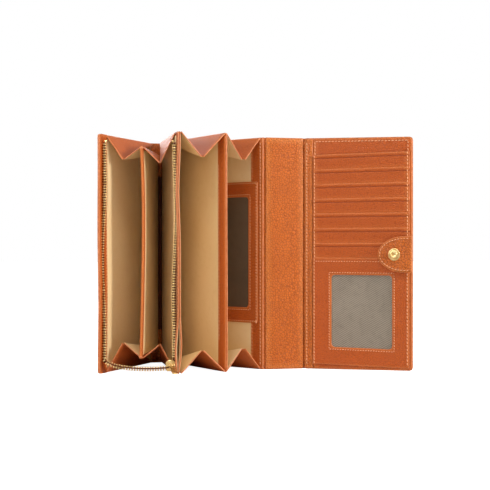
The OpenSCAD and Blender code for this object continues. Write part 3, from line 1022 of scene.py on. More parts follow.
@dataclass(frozen=True)
class Stitching:
    """A line of saddle stitches.

    Attributes:
        pitch: Distance from one stitch to the next.
        length: Length of the thread that shows.
        radius: Radius of the thread.
        slant: How far each stitch leans across the line.
        proud: How far the thread's middle stands over the face, as a share of its radius.
    """

    pitch: float = 2.9
    length: float = 2.1
    radius: float = 0.34
    slant: float = 0.16
    proud: float = 0.25

    def sew(self, shape: Shape, path: Sequence[tuple[float, float]], face: Bend, side: int) -> None:
        """Sews along a path on one face.

        Args:
            shape: The shape that the stitches go into.
            path: The seam's corners, as (u, z) points.
            face: The place of the face through the thickness, by depth and height.
            side: 1 for a right face, -1 for a left face.
        """
        points = np.array(path, float)
        legs = np.linalg.norm(np.diff(points, axis=0), axis=1)
        reach = np.concatenate([[0.0], np.cumsum(legs)])
        count = max(1, int(reach[-1] / self.pitch))
        for k in range(count):
            middle = (k + 0.5) * reach[-1] / count
            ends = []
            for d in (-self.length / 2, self.length / 2):
                at = min(max(middle + d, 0.0), reach[-1])
                u = float(np.interp(at, reach, points[:, 0]))
                z = float(np.interp(at, reach, points[:, 1]))
                ends.append(np.array([u, z]))
            along = ends[1] - ends[0]
            lean = np.array([-along[1], along[0]]) / max(SLIM, float(np.linalg.norm(along))) * self.slant
            place = []
            for end, sign in zip(ends, (-1, 1), strict=True):
                u, z = end + sign * lean
                place.append(np.array([height_at(face, u, z) + side * self.radius * self.proud, u, z]))
            add_capsule(shape, place[0], place[1], self.radius)


def height_at(face: Bend, u: float, z: float) -> float:
    """Gives the place of a bend or a face at one point."""
    return float(face(np.array([u]), np.array([z]))[0])


def flat_face(place: float, bend: Bend = flat_bend) -> Bend:
    """Gives a face that lies at one place through the thickness and follows a bend."""
    return lambda u, z: place + bend(u, z)


def add_lathe(shape: Shape, centre: tuple[float, float, float], profile: Sequence[tuple[float, float]],
              sides: int = 40) -> None:
    """Adds a turned piece whose axis runs through the panel's thickness.

    Args:
        shape: The shape that it goes into.
        centre: Foot of its axis, as (x, u, z).
        profile: (height along +x, radius) pairs, from the middle of one end to the middle of the other.
        sides: Number of facets round it.
    """
    turn = np.linspace(0, math.tau, sides, endpoint=False)
    grid = np.array([
        [(centre[0] + h, centre[1] + r * math.cos(t), centre[2] + r * math.sin(t)) for t in turn] for h, r in profile
    ])
    shape.add_tube(grid)


def ripple(size: float, wave: float, phase: float) -> Bend:
    """Gives the gentle waviness of a handled sheet."""
    return lambda u, z: size * (np.sin(z / wave + phase) * 0.6 + np.sin(z / (wave * 0.43) + u / 30 + phase * 2) * 0.4)


# ----------------------------------------
# Sub-assemblies
# ----------------------------------------

# Finishes of a sheet's right face, left face and rim.
LEATHER_BOTH = (Goods.GRAINED, Goods.GRAINED, Goods.EDGE)
BAND_BOTH = (Goods.BAND, Goods.BAND, Goods.EDGE)
SMOOTH_BOTH = (Goods.SMOOTH, Goods.SMOOTH, Goods.EDGE)
CLOTH = (Goods.LINING, Goods.LINING, Goods.LINING)
SEAM = Stitching()
# Radius of a cloth's or a thin part's rim, and depth of a full panel.
CLOTH_RIM = 0.1
PANEL_DEPTH = 96


def make_sheet(name: str, panel: Panel, plan: SheetPlan, goods: Sequence[Goods], node: str) -> None:
    """Makes a piece of one sheet.

    Args:
        name: The piece's name.
        panel: The panel that it lies in.
        plan: How it is cut and laid.
        goods: Finishes of its right face, left face and rim.
        node: The CAD node that it stands for.
    """
    shape = Shape()
    add_sheet(shape, plan)
    make_piece(name, panel, shape, goods, [node])


def level_normals(curve: np.ndarray) -> np.ndarray:
    """Gives the unit normals of a level curve.

    Args:
        curve: Its (x, y) points.

    Returns:
        The normals, to the right of its run.
    """
    way = np.gradient(curve, axis=0)
    normal = np.stack([way[:, 1], -way[:, 0]], axis=-1)
    return normal / np.linalg.norm(normal, axis=1)[:, None]


def cubic(ends: tuple[np.ndarray, np.ndarray], pulls: tuple[np.ndarray, np.ndarray], count: int) -> np.ndarray:
    """Draws a smooth curve between two ends.

    Args:
        ends: Its first and last point.
        pulls: The points that its two ends head for.
        count: Number of points.

    Returns:
        The curve's points.
    """
    t = np.linspace(0, 1, count)[:, None]
    a, d = ends
    b, c = pulls
    return (1 - t) ** 3 * a + 3 * t * (1 - t) ** 2 * b + 3 * t**2 * (1 - t) * c + t**3 * d


@dataclass
class Spine:
    """The leather back of the wallet and the rolls of leather that carry on round to the covers."""

    panel: Panel
    front: Panel
    back: Panel
    skin: float = 1.1
    bare_end: float = 28.0

    def build(self) -> None:
        """Builds the spine strip and its two rolls."""
        span = self.panel.span("spine_cover")
        shape = Shape()
        plate = Span(span.x0 + 1.2, span.x1 - 1.2, span.u0, 0, span.z0, span.z1)
        self._plate(shape, plate)
        # Painted shade: the strip's inner face between its bare ends takes the dark zip tape finish, standing in for
        # the shade deep inside the compartments.
        make_piece("spine_leather", self.panel, shape, (Goods.GRAINED, Goods.TAPE_SHADED, Goods.EDGE), ["spine_cover"])
        self._roll("spine_roll_front", self.front, "front_cover", -1)
        self._roll("spine_roll_back", self.back, "back_cover", 1)

    def _plate(self, shape: Shape, box: Span) -> None:
        """Adds the strip, whose thickness runs along the depth.

        Args:
            shape: The shape that it goes into.
            box: The strip's box.
        """
        thick = 1.6
        zs = np.linspace(box.z0, box.z1, 34)
        xs = np.linspace(box.x0, box.x1, 12)
        x, z = np.meshgrid(xs, zs, indexing="ij")
        hollow = 0.25 * np.sin(z / 31)
        outer = np.stack([x, box.u0 + hollow, z], axis=-1)
        inner = np.stack([x, box.u0 + thick + hollow, z], axis=-1)
        lay = np.stack([x, z], axis=-1)
        a = shape.add_grid(outer, 0, 0.0, flat=lay)
        mid = (zs[:-1] + zs[1:]) / 2
        # Painted shade: between the bare ends the inner face takes finish 1, the dark tape.
        cloth = ((mid > self.bare_end) & (mid < box.z1 - self.bare_end)).astype(int)
        b = shape.add_grid(inner, np.tile(cloth, (len(xs) - 1, 1)), 0.0, turn=True, flat=lay)
        shape.close_rim(a, b, 2)

    def _roll(self, name: str, cover: Panel, node: str, side: int) -> None:
        """Builds one roll of leather, from the spine round to the cover.

        Args:
            name: The piece's name.
            cover: The cover that it runs on to.
            node: The cover's CAD node.
            side: 1 for the right cover, -1 for the left one.
        """
        span = cover.span(node)
        spine = self.panel.span("spine_cover")
        face = span.x0 if side < 0 else span.x1
        foot = np.array(cover.foot)
        inset = 3.0
        start = np.array([foot[0] - side * inset, -spine.u0 - 0.05])
        end_u = 5.0
        end_row = cover.to_row(np.array([face + side * 0.12, end_u, 0.0]))[:2]
        outward = np.array([side * 1.0, 0.35])
        outward = outward / np.linalg.norm(outward)
        bulge = foot + outward * (abs(spine.u0) + 0.6)
        share = np.linspace(0, 1, 14)[:, None]
        pull = bulge * 1.9 - (start + end_row) * 0.45
        curve = (1 - share) ** 2 * start + 2 * share * (1 - share) * pull + share**2 * end_row
        normal = level_normals(curve) * -side
        taper = np.interp(share[:, 0], [0, 0.15, 0.85, 1], [0.15, 1, 1, 0.15])[:, None] * self.skin / 2
        loop = np.concatenate([curve + normal * taper, (curve - normal * taper)[::-1]])
        zs = np.linspace(span.z0, span.z1, 30)
        shape = Shape()
        sections = np.array([[(p[0], -p[1], z) for p in loop] for z in zs])
        shape.add_tube(sections, ends=1, flat=sections[..., [0, 2]])
        made = make_piece(name, at_origin(self.panel.body), shape, (Goods.GRAINED, Goods.EDGE), ride=False)
        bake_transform(made)


@dataclass
class FrontPanel:
    """The front cover with its lining, mouth band and snap socket."""

    panel: Panel
    corner: float = 3.0
    seam_inset: float = 2.6

    def bend(self) -> Bend:
        """Gives the panel's gentle waviness, which fades at the hinge."""
        wave = ripple(0.45, 38.0, 0.4)
        return lambda u, z: wave(u, z) * np.clip(u / 60, 0, 1)

    def build(self) -> None:
        """Builds the panel's pieces."""
        cover = self.panel.span("front_cover")
        bend = self.bend()
        plan = SheetPlan(cover.moved(x0=0.2, x1=-0.2, u0=1.0), radius=self.corner, soft=0.6, bend=bend)
        make_sheet("front_cover_leather", self.panel, plan, LEATHER_BOTH, "front_cover")
        lining = self.panel.span("front_lining")
        plan = SheetPlan(lining.moved(u1=0.8), soft=CLOTH_RIM, bend=bend)
        make_sheet("front_lining_cloth", self.panel, plan, CLOTH, "front_lining")
        band = self.panel.span("front_band")
        plan = SheetPlan(band, radius=self.corner, soft=0.35, bend=bend, step=4)
        make_sheet("front_band_leather", self.panel, plan, BAND_BOTH, "front_band")
        threads = Shape()
        inset = self.seam_inset
        low, high, far = cover.z0 + inset, cover.z1 - inset, cover.u1 - inset
        outer = [(4, low), (far, low), (far, high), (4, high)]
        SEAM.sew(threads, outer, flat_face(cover.x0 + 0.2, bend), -1)
        seam_u = band.u0 + 1.6
        SEAM.sew(threads, [(seam_u, band.z0 + 4), (seam_u, band.z1 - 4)], flat_face(band.x1, bend), 1)
        make_piece("front_seams", self.panel, threads, (Goods.THREAD,))
        self._socket()

    def _socket(self) -> None:
        """Builds the snap's socket: a spun brass ring with a rolled lip."""
        box = self.panel.span("snap_socket")
        centre = (box.x0, (box.u0 + box.u1) / 2, (box.z0 + box.z1) / 2)
        outer = (box.z1 - box.z0) / 2
        thick = box.x1 - box.x0
        hole = outer - 1.5
        profile = [(thick - 0.02, 0.05), (thick - 0.02, hole), (0.3, hole), (0.08, hole + 0.2), (0.0, hole + 0.6),
                   (0.12, outer - 0.35), (0.5, outer), (thick, outer), (thick, 0.05)]
        shape = Shape()
        add_lathe(shape, centre, profile)
        make_piece("snap_socket_brass", self.panel, shape, (Goods.BRASS,), ["snap_socket"])


@dataclass
class ShortDivider:
    """The short divider of the zip compartment: a leather core with cloth on both faces."""

    panel: Panel
    sway: float = 1.3

    def build(self) -> None:
        """Builds the divider's core, cloths and end tacks."""
        core = self.panel.span("divider_a_core")
        middle, half = (core.z0 + core.z1) / 2, (core.z1 - core.z0) / 2

        def bend(u: np.ndarray, z: np.ndarray) -> np.ndarray:
            """Bows the mouth to the right at mid height, and to the left at its ends."""
            share = (z - middle) / half
            return (self.sway * (1 - 1.35 * share**2) + 0.4 * np.sin(share * 2.6)) * np.clip(u / core.u1, 0, 1) ** 1.5

        shape = Shape()
        add_sheet(shape, SheetPlan(Span(-0.6, 0.6, 1.0, core.u1 - 3, core.z0, core.z1), soft=0.3, bend=bend, radius=2))
        add_sheet(shape, SheetPlan(Span(-1.1, 1.1, core.u1 - 6.5, core.u1, core.z0, core.z1), soft=0.9, radius=1.2,
                                   bend=bend, step=3), rim=0)
        make_piece("divider_a_leather", self.panel, shape, BAND_BOTH, ["divider_a_core"])
        cloths = self.panel.span("divider_a_linings")
        shape = Shape()
        for x0, x1 in ((cloths.x0, -0.62), (0.62, cloths.x1)):
            box = Span(x0, x1, cloths.u0, cloths.u1 - 1, cloths.z0, cloths.z1)
            add_sheet(shape, SheetPlan(box, soft=CLOTH_RIM, bend=bend))
        make_piece("divider_a_cloths", self.panel, shape, CLOTH, ["divider_a_linings"])
        threads = Shape()
        for side in (-1, 1):
            seam_u = core.u1 - 5.2
            ends = [(seam_u, core.z0 + 26), (seam_u, core.z1 - 26)]
            SEAM.sew(threads, ends, flat_face(side * 1.1, bend), side)
        tack = Shape()
        for z in (core.z0 + 1.6, core.z1 - 1.6):
            x = height_at(bend, core.u1, z)
            u = core.u1 - 0.6
            add_capsule(tack, np.array([x - 1.5, u, z]), np.array([x + 1.5, u, z]), 0.9, sides=10)
        make_piece("divider_a_seams", self.panel, threads, (Goods.THREAD,))
        make_piece("divider_a_tacks", self.panel, tack, (Goods.EDGE,))


@dataclass
class MiddleDivider:
    """The tall middle divider: two leather walls with a cloth slip pocket between them."""

    panel: Panel
    mouth_open: float = 1.7
    pinch: float = 0.8
    sway_high: float = 1.4
    sway_foot: float = 1.3

    def bend(self, side: int) -> Bend:
        """Gives a wall's bend; the two walls part near the mouth's lower half.

        Args:
            side: 1 for the right wall, -1 for the left one.

        Returns:
            The bend.
        """

        def shape(u: np.ndarray, z: np.ndarray) -> np.ndarray:
            """Sways both walls to the left and opens them a little near the foot.

            Args:
                u: Depths.
                z: Heights.

            Returns:
                How far the wall moves to the right.
            """
            mouth = np.clip(u / PANEL_DEPTH, 0, 1) ** 3
            foot = np.clip((46 - z) / 46, 0, 1) ** 1.6
            sway = -self.sway_high * np.exp(-(((z - 150) / 26) ** 2)) - self.sway_foot * foot
            part = side * (self.mouth_open * np.exp(-(((z - 22) / 16) ** 2)) - self.pinch)
            return (sway + part) * mouth

        return shape

    def build(self) -> None:
        """Builds the walls, linings, pocket cloth and seams."""
        threads = Shape()
        for side, name in ((-1, "divider_b_left"), (1, "divider_b_right")):
            wall, cloth = name + "_wall", name + "_lining"
            bend = self.bend(side)
            box = self.panel.span(wall)
            plan = SheetPlan(box, radius=3.0, soft=0.4, bend=bend, step=5)
            make_sheet(wall + "_leather", self.panel, plan, BAND_BOTH, wall)
            lining = self.panel.span(cloth)
            plan = SheetPlan(lining, soft=CLOTH_RIM, bend=bend)
            make_sheet(cloth + "_cloth", self.panel, plan, CLOTH, cloth)
            face = box.x0 if side < 0 else box.x1
            SEAM.sew(threads, [(box.u1 - 2.2, 5), (box.u1 - 2.2, box.z1 - 5)], flat_face(face, bend), side)
        make_piece("divider_b_seams", self.panel, threads, (Goods.THREAD,))
        pocket = self.panel.span("divider_b_pocket_lining")
        shape = Shape()
        for side in (-1, 1):
            near, far = 0.35 * side, pocket.x1 * side
            leaf = Span(min(near, far), max(near, far), pocket.u0, pocket.u1 - 0.6, 2.0, pocket.z1 - 2.0)
            add_sheet(shape, SheetPlan(leaf, soft=CLOTH_RIM, bend=self.bend(side), step=5))
        make_piece("divider_b_pocket_cloth", self.panel, shape, CLOTH, ["divider_b_pocket_lining"])


@dataclass
class ThirdDivider:
    """The third divider: a leather core, cloth on both faces and a leather band by the mouth."""

    panel: Panel

    def bend(self, u: np.ndarray, z: np.ndarray) -> np.ndarray:
        """Gives the divider's slight lean from top to foot."""
        return (0.2 * (100 - z) / 100 + 0.1 * np.sin(z / 33)) * np.clip(u / PANEL_DEPTH, 0, 1) ** 1.5

    def build(self) -> None:
        """Builds the divider's pieces."""
        core = self.panel.span("divider_c_core")
        plan = SheetPlan(Span(-0.6, 0.6, 1.0, core.u1, core.z0, core.z1), radius=3, soft=0.5, bend=self.bend)
        make_sheet("divider_c_leather", self.panel, plan, BAND_BOTH, "divider_c_core")
        for node in ("divider_c_left_lining", "divider_c_right_lining"):
            plan = SheetPlan(self.panel.span(node), soft=CLOTH_RIM, bend=self.bend)
            make_sheet(node + "_cloth", self.panel, plan, CLOTH, node)
        band = self.panel.span("divider_c_band")
        plan = SheetPlan(band, radius=3, soft=0.2, bend=self.bend, step=4)
        make_sheet("divider_c_band_leather", self.panel, plan, BAND_BOTH, "divider_c_band")
        threads = Shape()
        seam = band.u0 + 1.7
        SEAM.sew(threads, [(seam, band.z0 + 25), (seam, band.z1 - 25)], flat_face(band.x0, self.bend), -1)
        make_piece("divider_c_seams", self.panel, threads, (Goods.THREAD,))


@dataclass
class BackPanel:
    """The back cover, its lining and band, and the pass pocket with its mesh window."""

    panel: Panel
    window_corner: float = 3.0
    pocket_proud: float = 0.25

    def build(self) -> None:
        """Builds the panel's pieces."""
        cover = self.panel.span("back_cover")
        plan = SheetPlan(cover.moved(x0=0.2, x1=-0.2, u0=1.0), soft=0.6)
        make_sheet("back_cover_leather", self.panel, plan, LEATHER_BOTH, "back_cover")
        plan = SheetPlan(self.panel.span("back_lining").moved(u1=0.5), soft=CLOTH_RIM)
        make_sheet("back_lining_cloth", self.panel, plan, CLOTH, "back_lining")
        band = self.panel.span("back_band")
        plan = SheetPlan(band, soft=0.25, step=4)
        make_sheet("back_band_leather", self.panel, plan, BAND_BOTH, "back_band")
        self._pass_pocket()
        threads = Shape()
        inset = 2.6
        outer = [(4, cover.z0 + inset), (cover.u1 - 1, cover.z0 + inset)]
        SEAM.sew(threads, outer, flat_face(cover.x1 - 0.2), 1)
        SEAM.sew(threads, [(4, cover.z1 - inset), (cover.u1 - 1, cover.z1 - inset)], flat_face(cover.x1 - 0.2), 1)
        for u in (band.u1 - 2.6, band.u0 + 1.4):
            SEAM.sew(threads, [(u, band.z0 + 3), (u, band.z1 - 3)], flat_face(band.x0), -1)
        make_piece("back_seams", self.panel, threads, (Goods.THREAD,))

    def _pass_pocket(self) -> None:
        """Builds the pass pocket, its mesh and the stitching round its window."""
        pocket = self.panel.span("pass_pocket")
        mesh = self.panel.span("pass_window")
        outer = rounded_loop(pocket.u0, pocket.u1, pocket.z0, pocket.z1, 2.0, 16)
        inner = rounded_loop(mesh.u0, mesh.u1, mesh.z0, mesh.z1, self.window_corner, 16)
        shape = Shape()
        add_frame(shape, outer, inner, pocket.x0 - self.pocket_proud, pocket.x1, soft=0.3)
        make_piece("pass_pocket_leather", self.panel, shape, BAND_BOTH, ["pass_pocket"])
        shape = Shape()
        add_sheet(shape, SheetPlan(mesh.moved(x0=0.05, x1=-0.02, u0=-3, u1=3, z0=-3, z1=3), soft=CLOTH_RIM))
        # The mesh's dark colour is painted shade.
        make_piece("pass_window_mesh", self.panel, shape, (Goods.PASS_MESH_SHADED,) * 3, ["pass_window"])
        threads = Shape()
        gap = 2.0
        u0, u1, z0, z1 = mesh.u0 - gap, mesh.u1 + gap, mesh.z0 - gap, mesh.z1 + gap
        fine = Stitching(pitch=2.5, length=1.6, radius=0.3)
        face = flat_face(pocket.x0 - self.pocket_proud)
        fine.sew(threads, [(u0, z0), (u1, z0), (u1, z1), (u0, z1), (u0, z0)], face, -1)
        edge = pocket.u1 - 1.4
        fine.sew(threads, [(edge, pocket.z0 + 1), (edge, pocket.z1 - 1)], face, -1)
        for z in (pocket.z0 + 1.3, pocket.z1 - 1.3):
            fine.sew(threads, [(pocket.u0 + 3, z), (edge, z)], face, -1)
        tack = [np.array([pocket.x0 - 0.5, edge, pocket.z0 + rise]) for rise in (-0.4, 2.2)]
        add_capsule(threads, tack[0], tack[1], 0.5)
        make_piece("pass_pocket_seams", self.panel, threads, (Goods.THREAD,))


@dataclass
class Bridge:
    """The bridge between the back panel and the flap, lined with the same grained leather."""

    panel: Panel
    back: Panel
    flap: Panel

    def build(self) -> None:
        """Builds the bridge's leather and the leather that rolls over its two folds."""
        cover = self.panel.span("bridge_cover")
        lining = self.panel.span("bridge_lining")
        dish = ripple(0.25, 45.0, 1.3)
        plan = SheetPlan(
            Span(0.0, cover.x1, lining.u0, lining.u1, cover.z0, cover.z1), soft=0.5, bend=dish, step=5
        )
        make_sheet("bridge_leather", self.panel, plan, LEATHER_BOTH, "bridge_cover")
        plan = SheetPlan(lining.moved(x0=-0.1, u0=-0.2, u1=0.2), soft=0.35, bend=dish, step=5)
        make_sheet("bridge_lining_leather", self.panel, plan, LEATHER_BOTH, "bridge_lining")
        self._fold("back_fold", self.back, self.back.span("back_cover").u1, self.panel, lining.u0, cover)
        length = math.dist(self.panel.foot, self.flap.foot)
        far_u = self.flap.span("flap_cover").u0 + 1.8
        self._fold("flap_fold", self.panel, min(lining.u1, length), self.flap, far_u, cover)

    def _fold(self, name: str, near: Panel, near_u: float, far: Panel, far_u: float, cover: Span) -> None:
        """Builds the leather over one fold, from one panel's end to the next one's start.

        Args:
            name: The fold's name.
            near: The first panel.
            near_u: Depth at which the first panel ends.
            far: The next panel.
            far_u: Depth at which the next panel starts.
            cover: The bridge's extent, which gives the height.
        """
        thick = 1.0
        lap = 2.2
        a0 = near.to_row(np.array([0.55, near_u - lap, 0.0]))[:2]
        a1 = near.to_row(np.array([0.55, near_u, 0.0]))[:2]
        b0 = far.to_row(np.array([0.55, far_u, 0.0]))[:2]
        b1 = far.to_row(np.array([0.55, far_u + lap, 0.0]))[:2]
        pull = 0.5 * (np.linalg.norm(b0 - a1) + 0.2)
        c0 = a1 + pull * near.depth_way[:2]
        c1 = b0 - pull * far.depth_way[:2]
        curve = np.concatenate([[a0], cubic((a1, b0), (c0, c1), 8), [b1]])
        normal = level_normals(curve)
        taper = np.full((len(curve), 1), thick / 2)
        taper[0] = taper[-1] = 0.12
        loop = np.concatenate([curve + normal * taper, (curve - normal * taper)[::-1]])
        shape = Shape()
        zs = np.linspace(cover.z0 + 0.3, cover.z1 - 0.3, 30)
        sections = np.array([[(p[0], -p[1], z) for p in loop] for z in zs])
        shape.add_tube(sections, ends=1)
        goods = (Goods.GRAINED, Goods.EDGE)
        made = make_piece(name + "_leather", at_origin(near.body), shape, goods, ride=False)
        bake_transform(made)


@dataclass
class Flap:
    """The flap: cover, slip pocket strip, card slots and the identity window."""

    panel: Panel
    corner: float = 3.0
    crease_down: float = 3.1
    slots: int = 7
    slot_leather: float = 0.75
    window_proud: float = 0.15
    seam_in: float = 1.2
    seam_out: float = 1.6

    def build(self) -> None:
        """Builds the flap's pieces."""
        self.cover = self.panel.span("flap_cover")
        self._cover()
        self._strip()
        self._slots()
        self._window()
        self._seams()

    def taper(self, u: np.ndarray, z: np.ndarray) -> tuple[np.ndarray, np.ndarray]:
        """Narrows the flap evenly towards its free edge."""
        middle = (self.cover.z0 + self.cover.z1) / 2
        return u, middle + (z - middle) * (1 - self.narrow * u / self.cover.u1)

    @property
    def narrow(self) -> float:
        """Share of its height that the flap loses by its free edge.

        Returns:
            The share, from 0 to 1.
        """
        points = node_points("flap_cover") - np.array([*self.panel.foot, 0.0])
        free = points[(points @ self.panel.depth_way) > self.cover.u1 - 8]
        return 1 - (free[:, 2].max() - free[:, 2].min()) / (self.cover.z1 - self.cover.z0)

    def _cover(self) -> None:
        """Builds the outer leather and the backing that carries the slots."""
        shape = Shape()
        box = Span(0.0, self.cover.x1, 1.2, self.cover.u1, self.cover.z0, self.cover.z1)
        add_sheet(shape, SheetPlan(box, radius=self.corner, soft=0.6, shape=self.taper))
        make_piece("flap_leather", self.panel, shape, LEATHER_BOTH, ["flap_cover"])
        backing = self.panel.span("card_backing")
        shape = Shape()
        box = Span(backing.x0, backing.x1, backing.u0, backing.u1 + 0.4, self.cover.z0 + 0.7, self.cover.z1 - 0.7)
        add_sheet(shape, SheetPlan(box, radius=self.corner - 0.5, soft=0.35, shape=self.taper))
        make_piece("card_backing_leather", self.panel, shape, SMOOTH_BOTH, ["card_backing"])

    def _strip(self) -> None:
        """Builds the slip pocket's strip beside the fold."""
        box = self.panel.span("slip_pocket_strip")
        plan = SheetPlan(box.moved(x0=-0.3), soft=0.5, step=3, shape=self.taper)
        make_sheet("slip_pocket_leather", self.panel, plan, LEATHER_BOTH, "slip_pocket_strip")

    def _slots(self) -> None:
        """Builds the card slots: each leans out at its top edge and has a creased line below it."""
        for k in range(1, self.slots + 1):
            box = self.panel.span(f"card_slot_{k}")
            thick = self.slot_leather
            lean = (box.x1 - box.x0) - thick
            height = box.z1 - box.z0

            def bend(u: np.ndarray, z: np.ndarray, box: Span = box, lean: float = lean,
                     height: float = height) -> np.ndarray:
                """Leans the strip out towards its top edge."""
                return -lean * (z - box.z0) / height

            # Its pressed line sinks deep enough to be painted with shade in the leather's deep colour.
            def crease(u: np.ndarray, z: np.ndarray, top: float = box.z1) -> np.ndarray:
                """Presses a line below the top edge and swells the leather beside it."""
                down = top - z - self.crease_down
                return 0.14 * np.exp(-(((down + 1.5) / 1.0) ** 2)) - 0.34 * np.exp(-((down / 0.45) ** 2))

            marks = tuple(box.z1 - self.crease_down + d for d in (-1.6, -1.1, -0.7, -0.35, 0, 0.35, 0.7, 1.4))
            laid = Span(box.x1 - thick, box.x1, box.u0, box.u1, box.z0, box.z1)
            plan = SheetPlan(laid, soft=0.3, step=5, bend=bend, relief=crease, z_marks=marks)
            make_sheet(f"card_slot_{k}_leather", self.panel, plan, SMOOTH_BOTH, f"card_slot_{k}")

    def _window(self) -> None:
        """Builds the identity window's leather, its mesh and its stitching."""
        panel_box = self.panel.span("window_panel")
        mesh = self.panel.span("window_mesh")
        lap = 4.0
        hole = (mesh.u0 + lap, mesh.u1 - lap, mesh.z0 + lap, mesh.z1 - lap)
        front = panel_box.x0
        outer = rounded_loop(panel_box.u0, panel_box.u1, panel_box.z0, panel_box.z1, 1.2, 18)
        inner = rounded_loop(*hole, 3.2, 18)
        shape = Shape()
        add_frame(shape, outer, inner, front - self.window_proud, front + 0.75, soft=0.42, lines=7)
        make_piece("window_leather", self.panel, shape, SMOOTH_BOTH, ["window_panel"])
        shape = Shape()
        add_sheet(shape, SheetPlan(Span(front + 0.8, front + 1.15, mesh.u0, mesh.u1, mesh.z0, mesh.z1), soft=CLOTH_RIM))
        make_piece("window_mesh_cloth", self.panel, shape, (Goods.MESH,) * 3, ["window_mesh"])
        threads = Shape()
        fine = Stitching(pitch=2.3, length=1.5, radius=0.3)
        gap = 1.9
        u0, u1, z0, z1 = hole[0] - gap, hole[1] + gap, hole[2] - gap, hole[3] + gap
        face = flat_face(front - self.window_proud)
        fine.sew(threads, [(u0, z0), (u1, z0), (u1, z1), (u0, z1), (u0, z0)], face, -1)
        top = panel_box.z1 - self.crease_down
        fine.sew(threads, [(panel_box.u0 + 2, top), (panel_box.u1 - 2, top)], face, -1)
        make_piece("window_seams", self.panel, threads, (Goods.THREAD,))

    def _seams(self) -> None:
        """Builds the seams down both sides of the slots and along the strip."""
        slot = self.panel.span("card_slot_1")
        last = self.panel.span(f"card_slot_{self.slots}")
        strip = self.panel.span("slip_pocket_strip")
        threads = Shape()
        pitch = (slot.z1 - last.z1) / (self.slots - 1)
        window_top = self.panel.span("window_panel")

        def face(u: np.ndarray, z: np.ndarray) -> np.ndarray:
            """Follows the steps of the slots.

            Args:
                u: Depths.
                z: Heights.

            Returns:
                The places of the face.
            """
            step = np.floor((slot.z1 - z) / pitch)
            down = (slot.z1 - z) - step * pitch
            lean = (slot.x1 - slot.x0) - self.slot_leather
            on_slot = slot.x0 + lean * down / (slot.z1 - slot.z0)
            place = np.where(z > slot.z1, self.panel.span("card_backing").x0, on_slot)
            return np.where(z < window_top.z1, window_top.x0 - self.window_proud, place)

        top, low = self.cover.z1 - 3.2, self.cover.z0 + 4.5
        for u in (slot.u0 + self.seam_in, slot.u1 - self.seam_out):
            ends = self.taper(np.array([u, u]), np.array([low, top]))[1]
            SEAM.sew(threads, [(u, ends[0]), (u, ends[1])], face, -1)
        u = strip.u0 + 2.2
        SEAM.sew(threads, [(u, strip.z0 + 3), (u, strip.z1 - 3)], flat_face(strip.x0 - 0.3), -1)
        far = self.cover.u1 - 2.6
        outer = self.taper(np.array([3, far, far, 3]), np.array([low - 1.8, low - 1.8, top + 0.6, top + 0.6]))
        SEAM.sew(threads, list(zip(*outer, strict=True)), flat_face(self.cover.x1), 1)
        rim = self.taper(np.array([slot.u0 + self.seam_in, slot.u1 - self.seam_out]), np.array([top, top]))
        SEAM.sew(threads, list(zip(*rim, strict=True)), flat_face(self.panel.span("card_backing").x0), -1)
        make_piece("flap_seams", self.panel, threads, (Goods.THREAD,))


@dataclass
class SnapTab:
    """The D-shaped tab on the flap's free edge, with the brass stud."""

    panel: Panel
    edge_inset: float = 1.9

    def build(self) -> None:
        """Builds the tab, its seam and the stud."""
        tab = self.panel.span("snap_tab")
        radius = (tab.z1 - tab.z0) / 2
        middle = (tab.z0 + tab.z1) / 2
        stud = self.panel.span("snap_stud")
        thick = 1.8
        face = stud.x1
        loop = self._outline(tab, radius, middle, 0.0)
        shape = Shape()
        add_pad(shape, loop, ((tab.u0 + tab.u1) / 2, middle), face, face + thick, soft=0.8, crown=0.25, right=1, left=0)
        make_piece("snap_tab_leather", self.panel, shape, (Goods.GRAINED, Goods.GRAINED, Goods.EDGE), ["snap_tab"])
        threads = Shape()
        seam = self._outline(tab, radius, middle, self.edge_inset)
        around = seam[np.argsort(-np.arctan2(seam[:, 1] - middle, seam[:, 0] - tab.u1 - 2) % math.tau)]
        around = np.array([p for p in around if p[0] < tab.u1 - 2.5])
        Stitching(pitch=2.6, length=1.9, radius=0.32).sew(threads, [tuple(p) for p in around], flat_face(face), -1)
        make_piece("snap_tab_seam", self.panel, threads, (Goods.THREAD,))
        self._stud(stud, face)

    def _outline(self, tab: Span, radius: float, middle: float, inset: float) -> np.ndarray:
        """Draws the tab's D outline, set in by a margin.

        Args:
            tab: The tab's extent.
            radius: Half its height.
            middle: Its middle height.
            inset: The margin.

        Returns:
            A loop of (u, z) points.
        """
        r = radius - inset
        long = 0.78 * (tab.u1 - tab.u0)
        centre_u = tab.u0 + long
        turn = np.radians(np.linspace(90, 270, 36))
        arc = np.stack([centre_u + (long - inset) * np.cos(turn), middle + r * np.sin(turn)], axis=-1)
        end = tab.u1 - inset
        foot = np.stack([np.linspace(centre_u, end, 8)[1:], np.full(7, middle - r)], axis=-1)
        side = np.stack([np.full(12, end), np.linspace(middle - r, middle + r, 14)[1:-1]], axis=-1)
        top = np.stack([np.linspace(end, centre_u, 8)[:-1], np.full(7, middle + r)], axis=-1)
        return np.concatenate([arc, foot, side, top])

    def _stud(self, stud: Span, face: float) -> None:
        """Builds the stud: a domed flange, a waisted post and a dimple.

        Args:
            stud: The stud's extent.
            face: Place of the tab's face.
        """
        flange = (stud.z1 - stud.z0) / 2
        tall = stud.x1 - stud.x0
        post = flange * 0.645
        profile = [(0.1, 0.05), (0.1, flange - 0.3), (-0.15, flange), (-0.45, flange - 0.15), (-0.7, flange - 0.8),
                   (-0.6, post + 0.5), (-0.55, post - 0.25), (-tall * 0.6, post - 0.45), (-tall * 0.78, post),
                   (-tall * 0.93, post - 0.25), (-tall, post - 0.9), (-tall * 0.98, 1.5), (-tall * 0.85, 1.15),
                   (-tall * 0.5, 0.95), (-tall * 0.45, 0.05)]
        shape = Shape()
        add_lathe(shape, (face, (stud.u0 + stud.u1) / 2, (stud.z0 + stud.z1) / 2), profile)
        make_piece("snap_stud_brass", self.panel, shape, (Goods.BRASS,), ["snap_stud"])


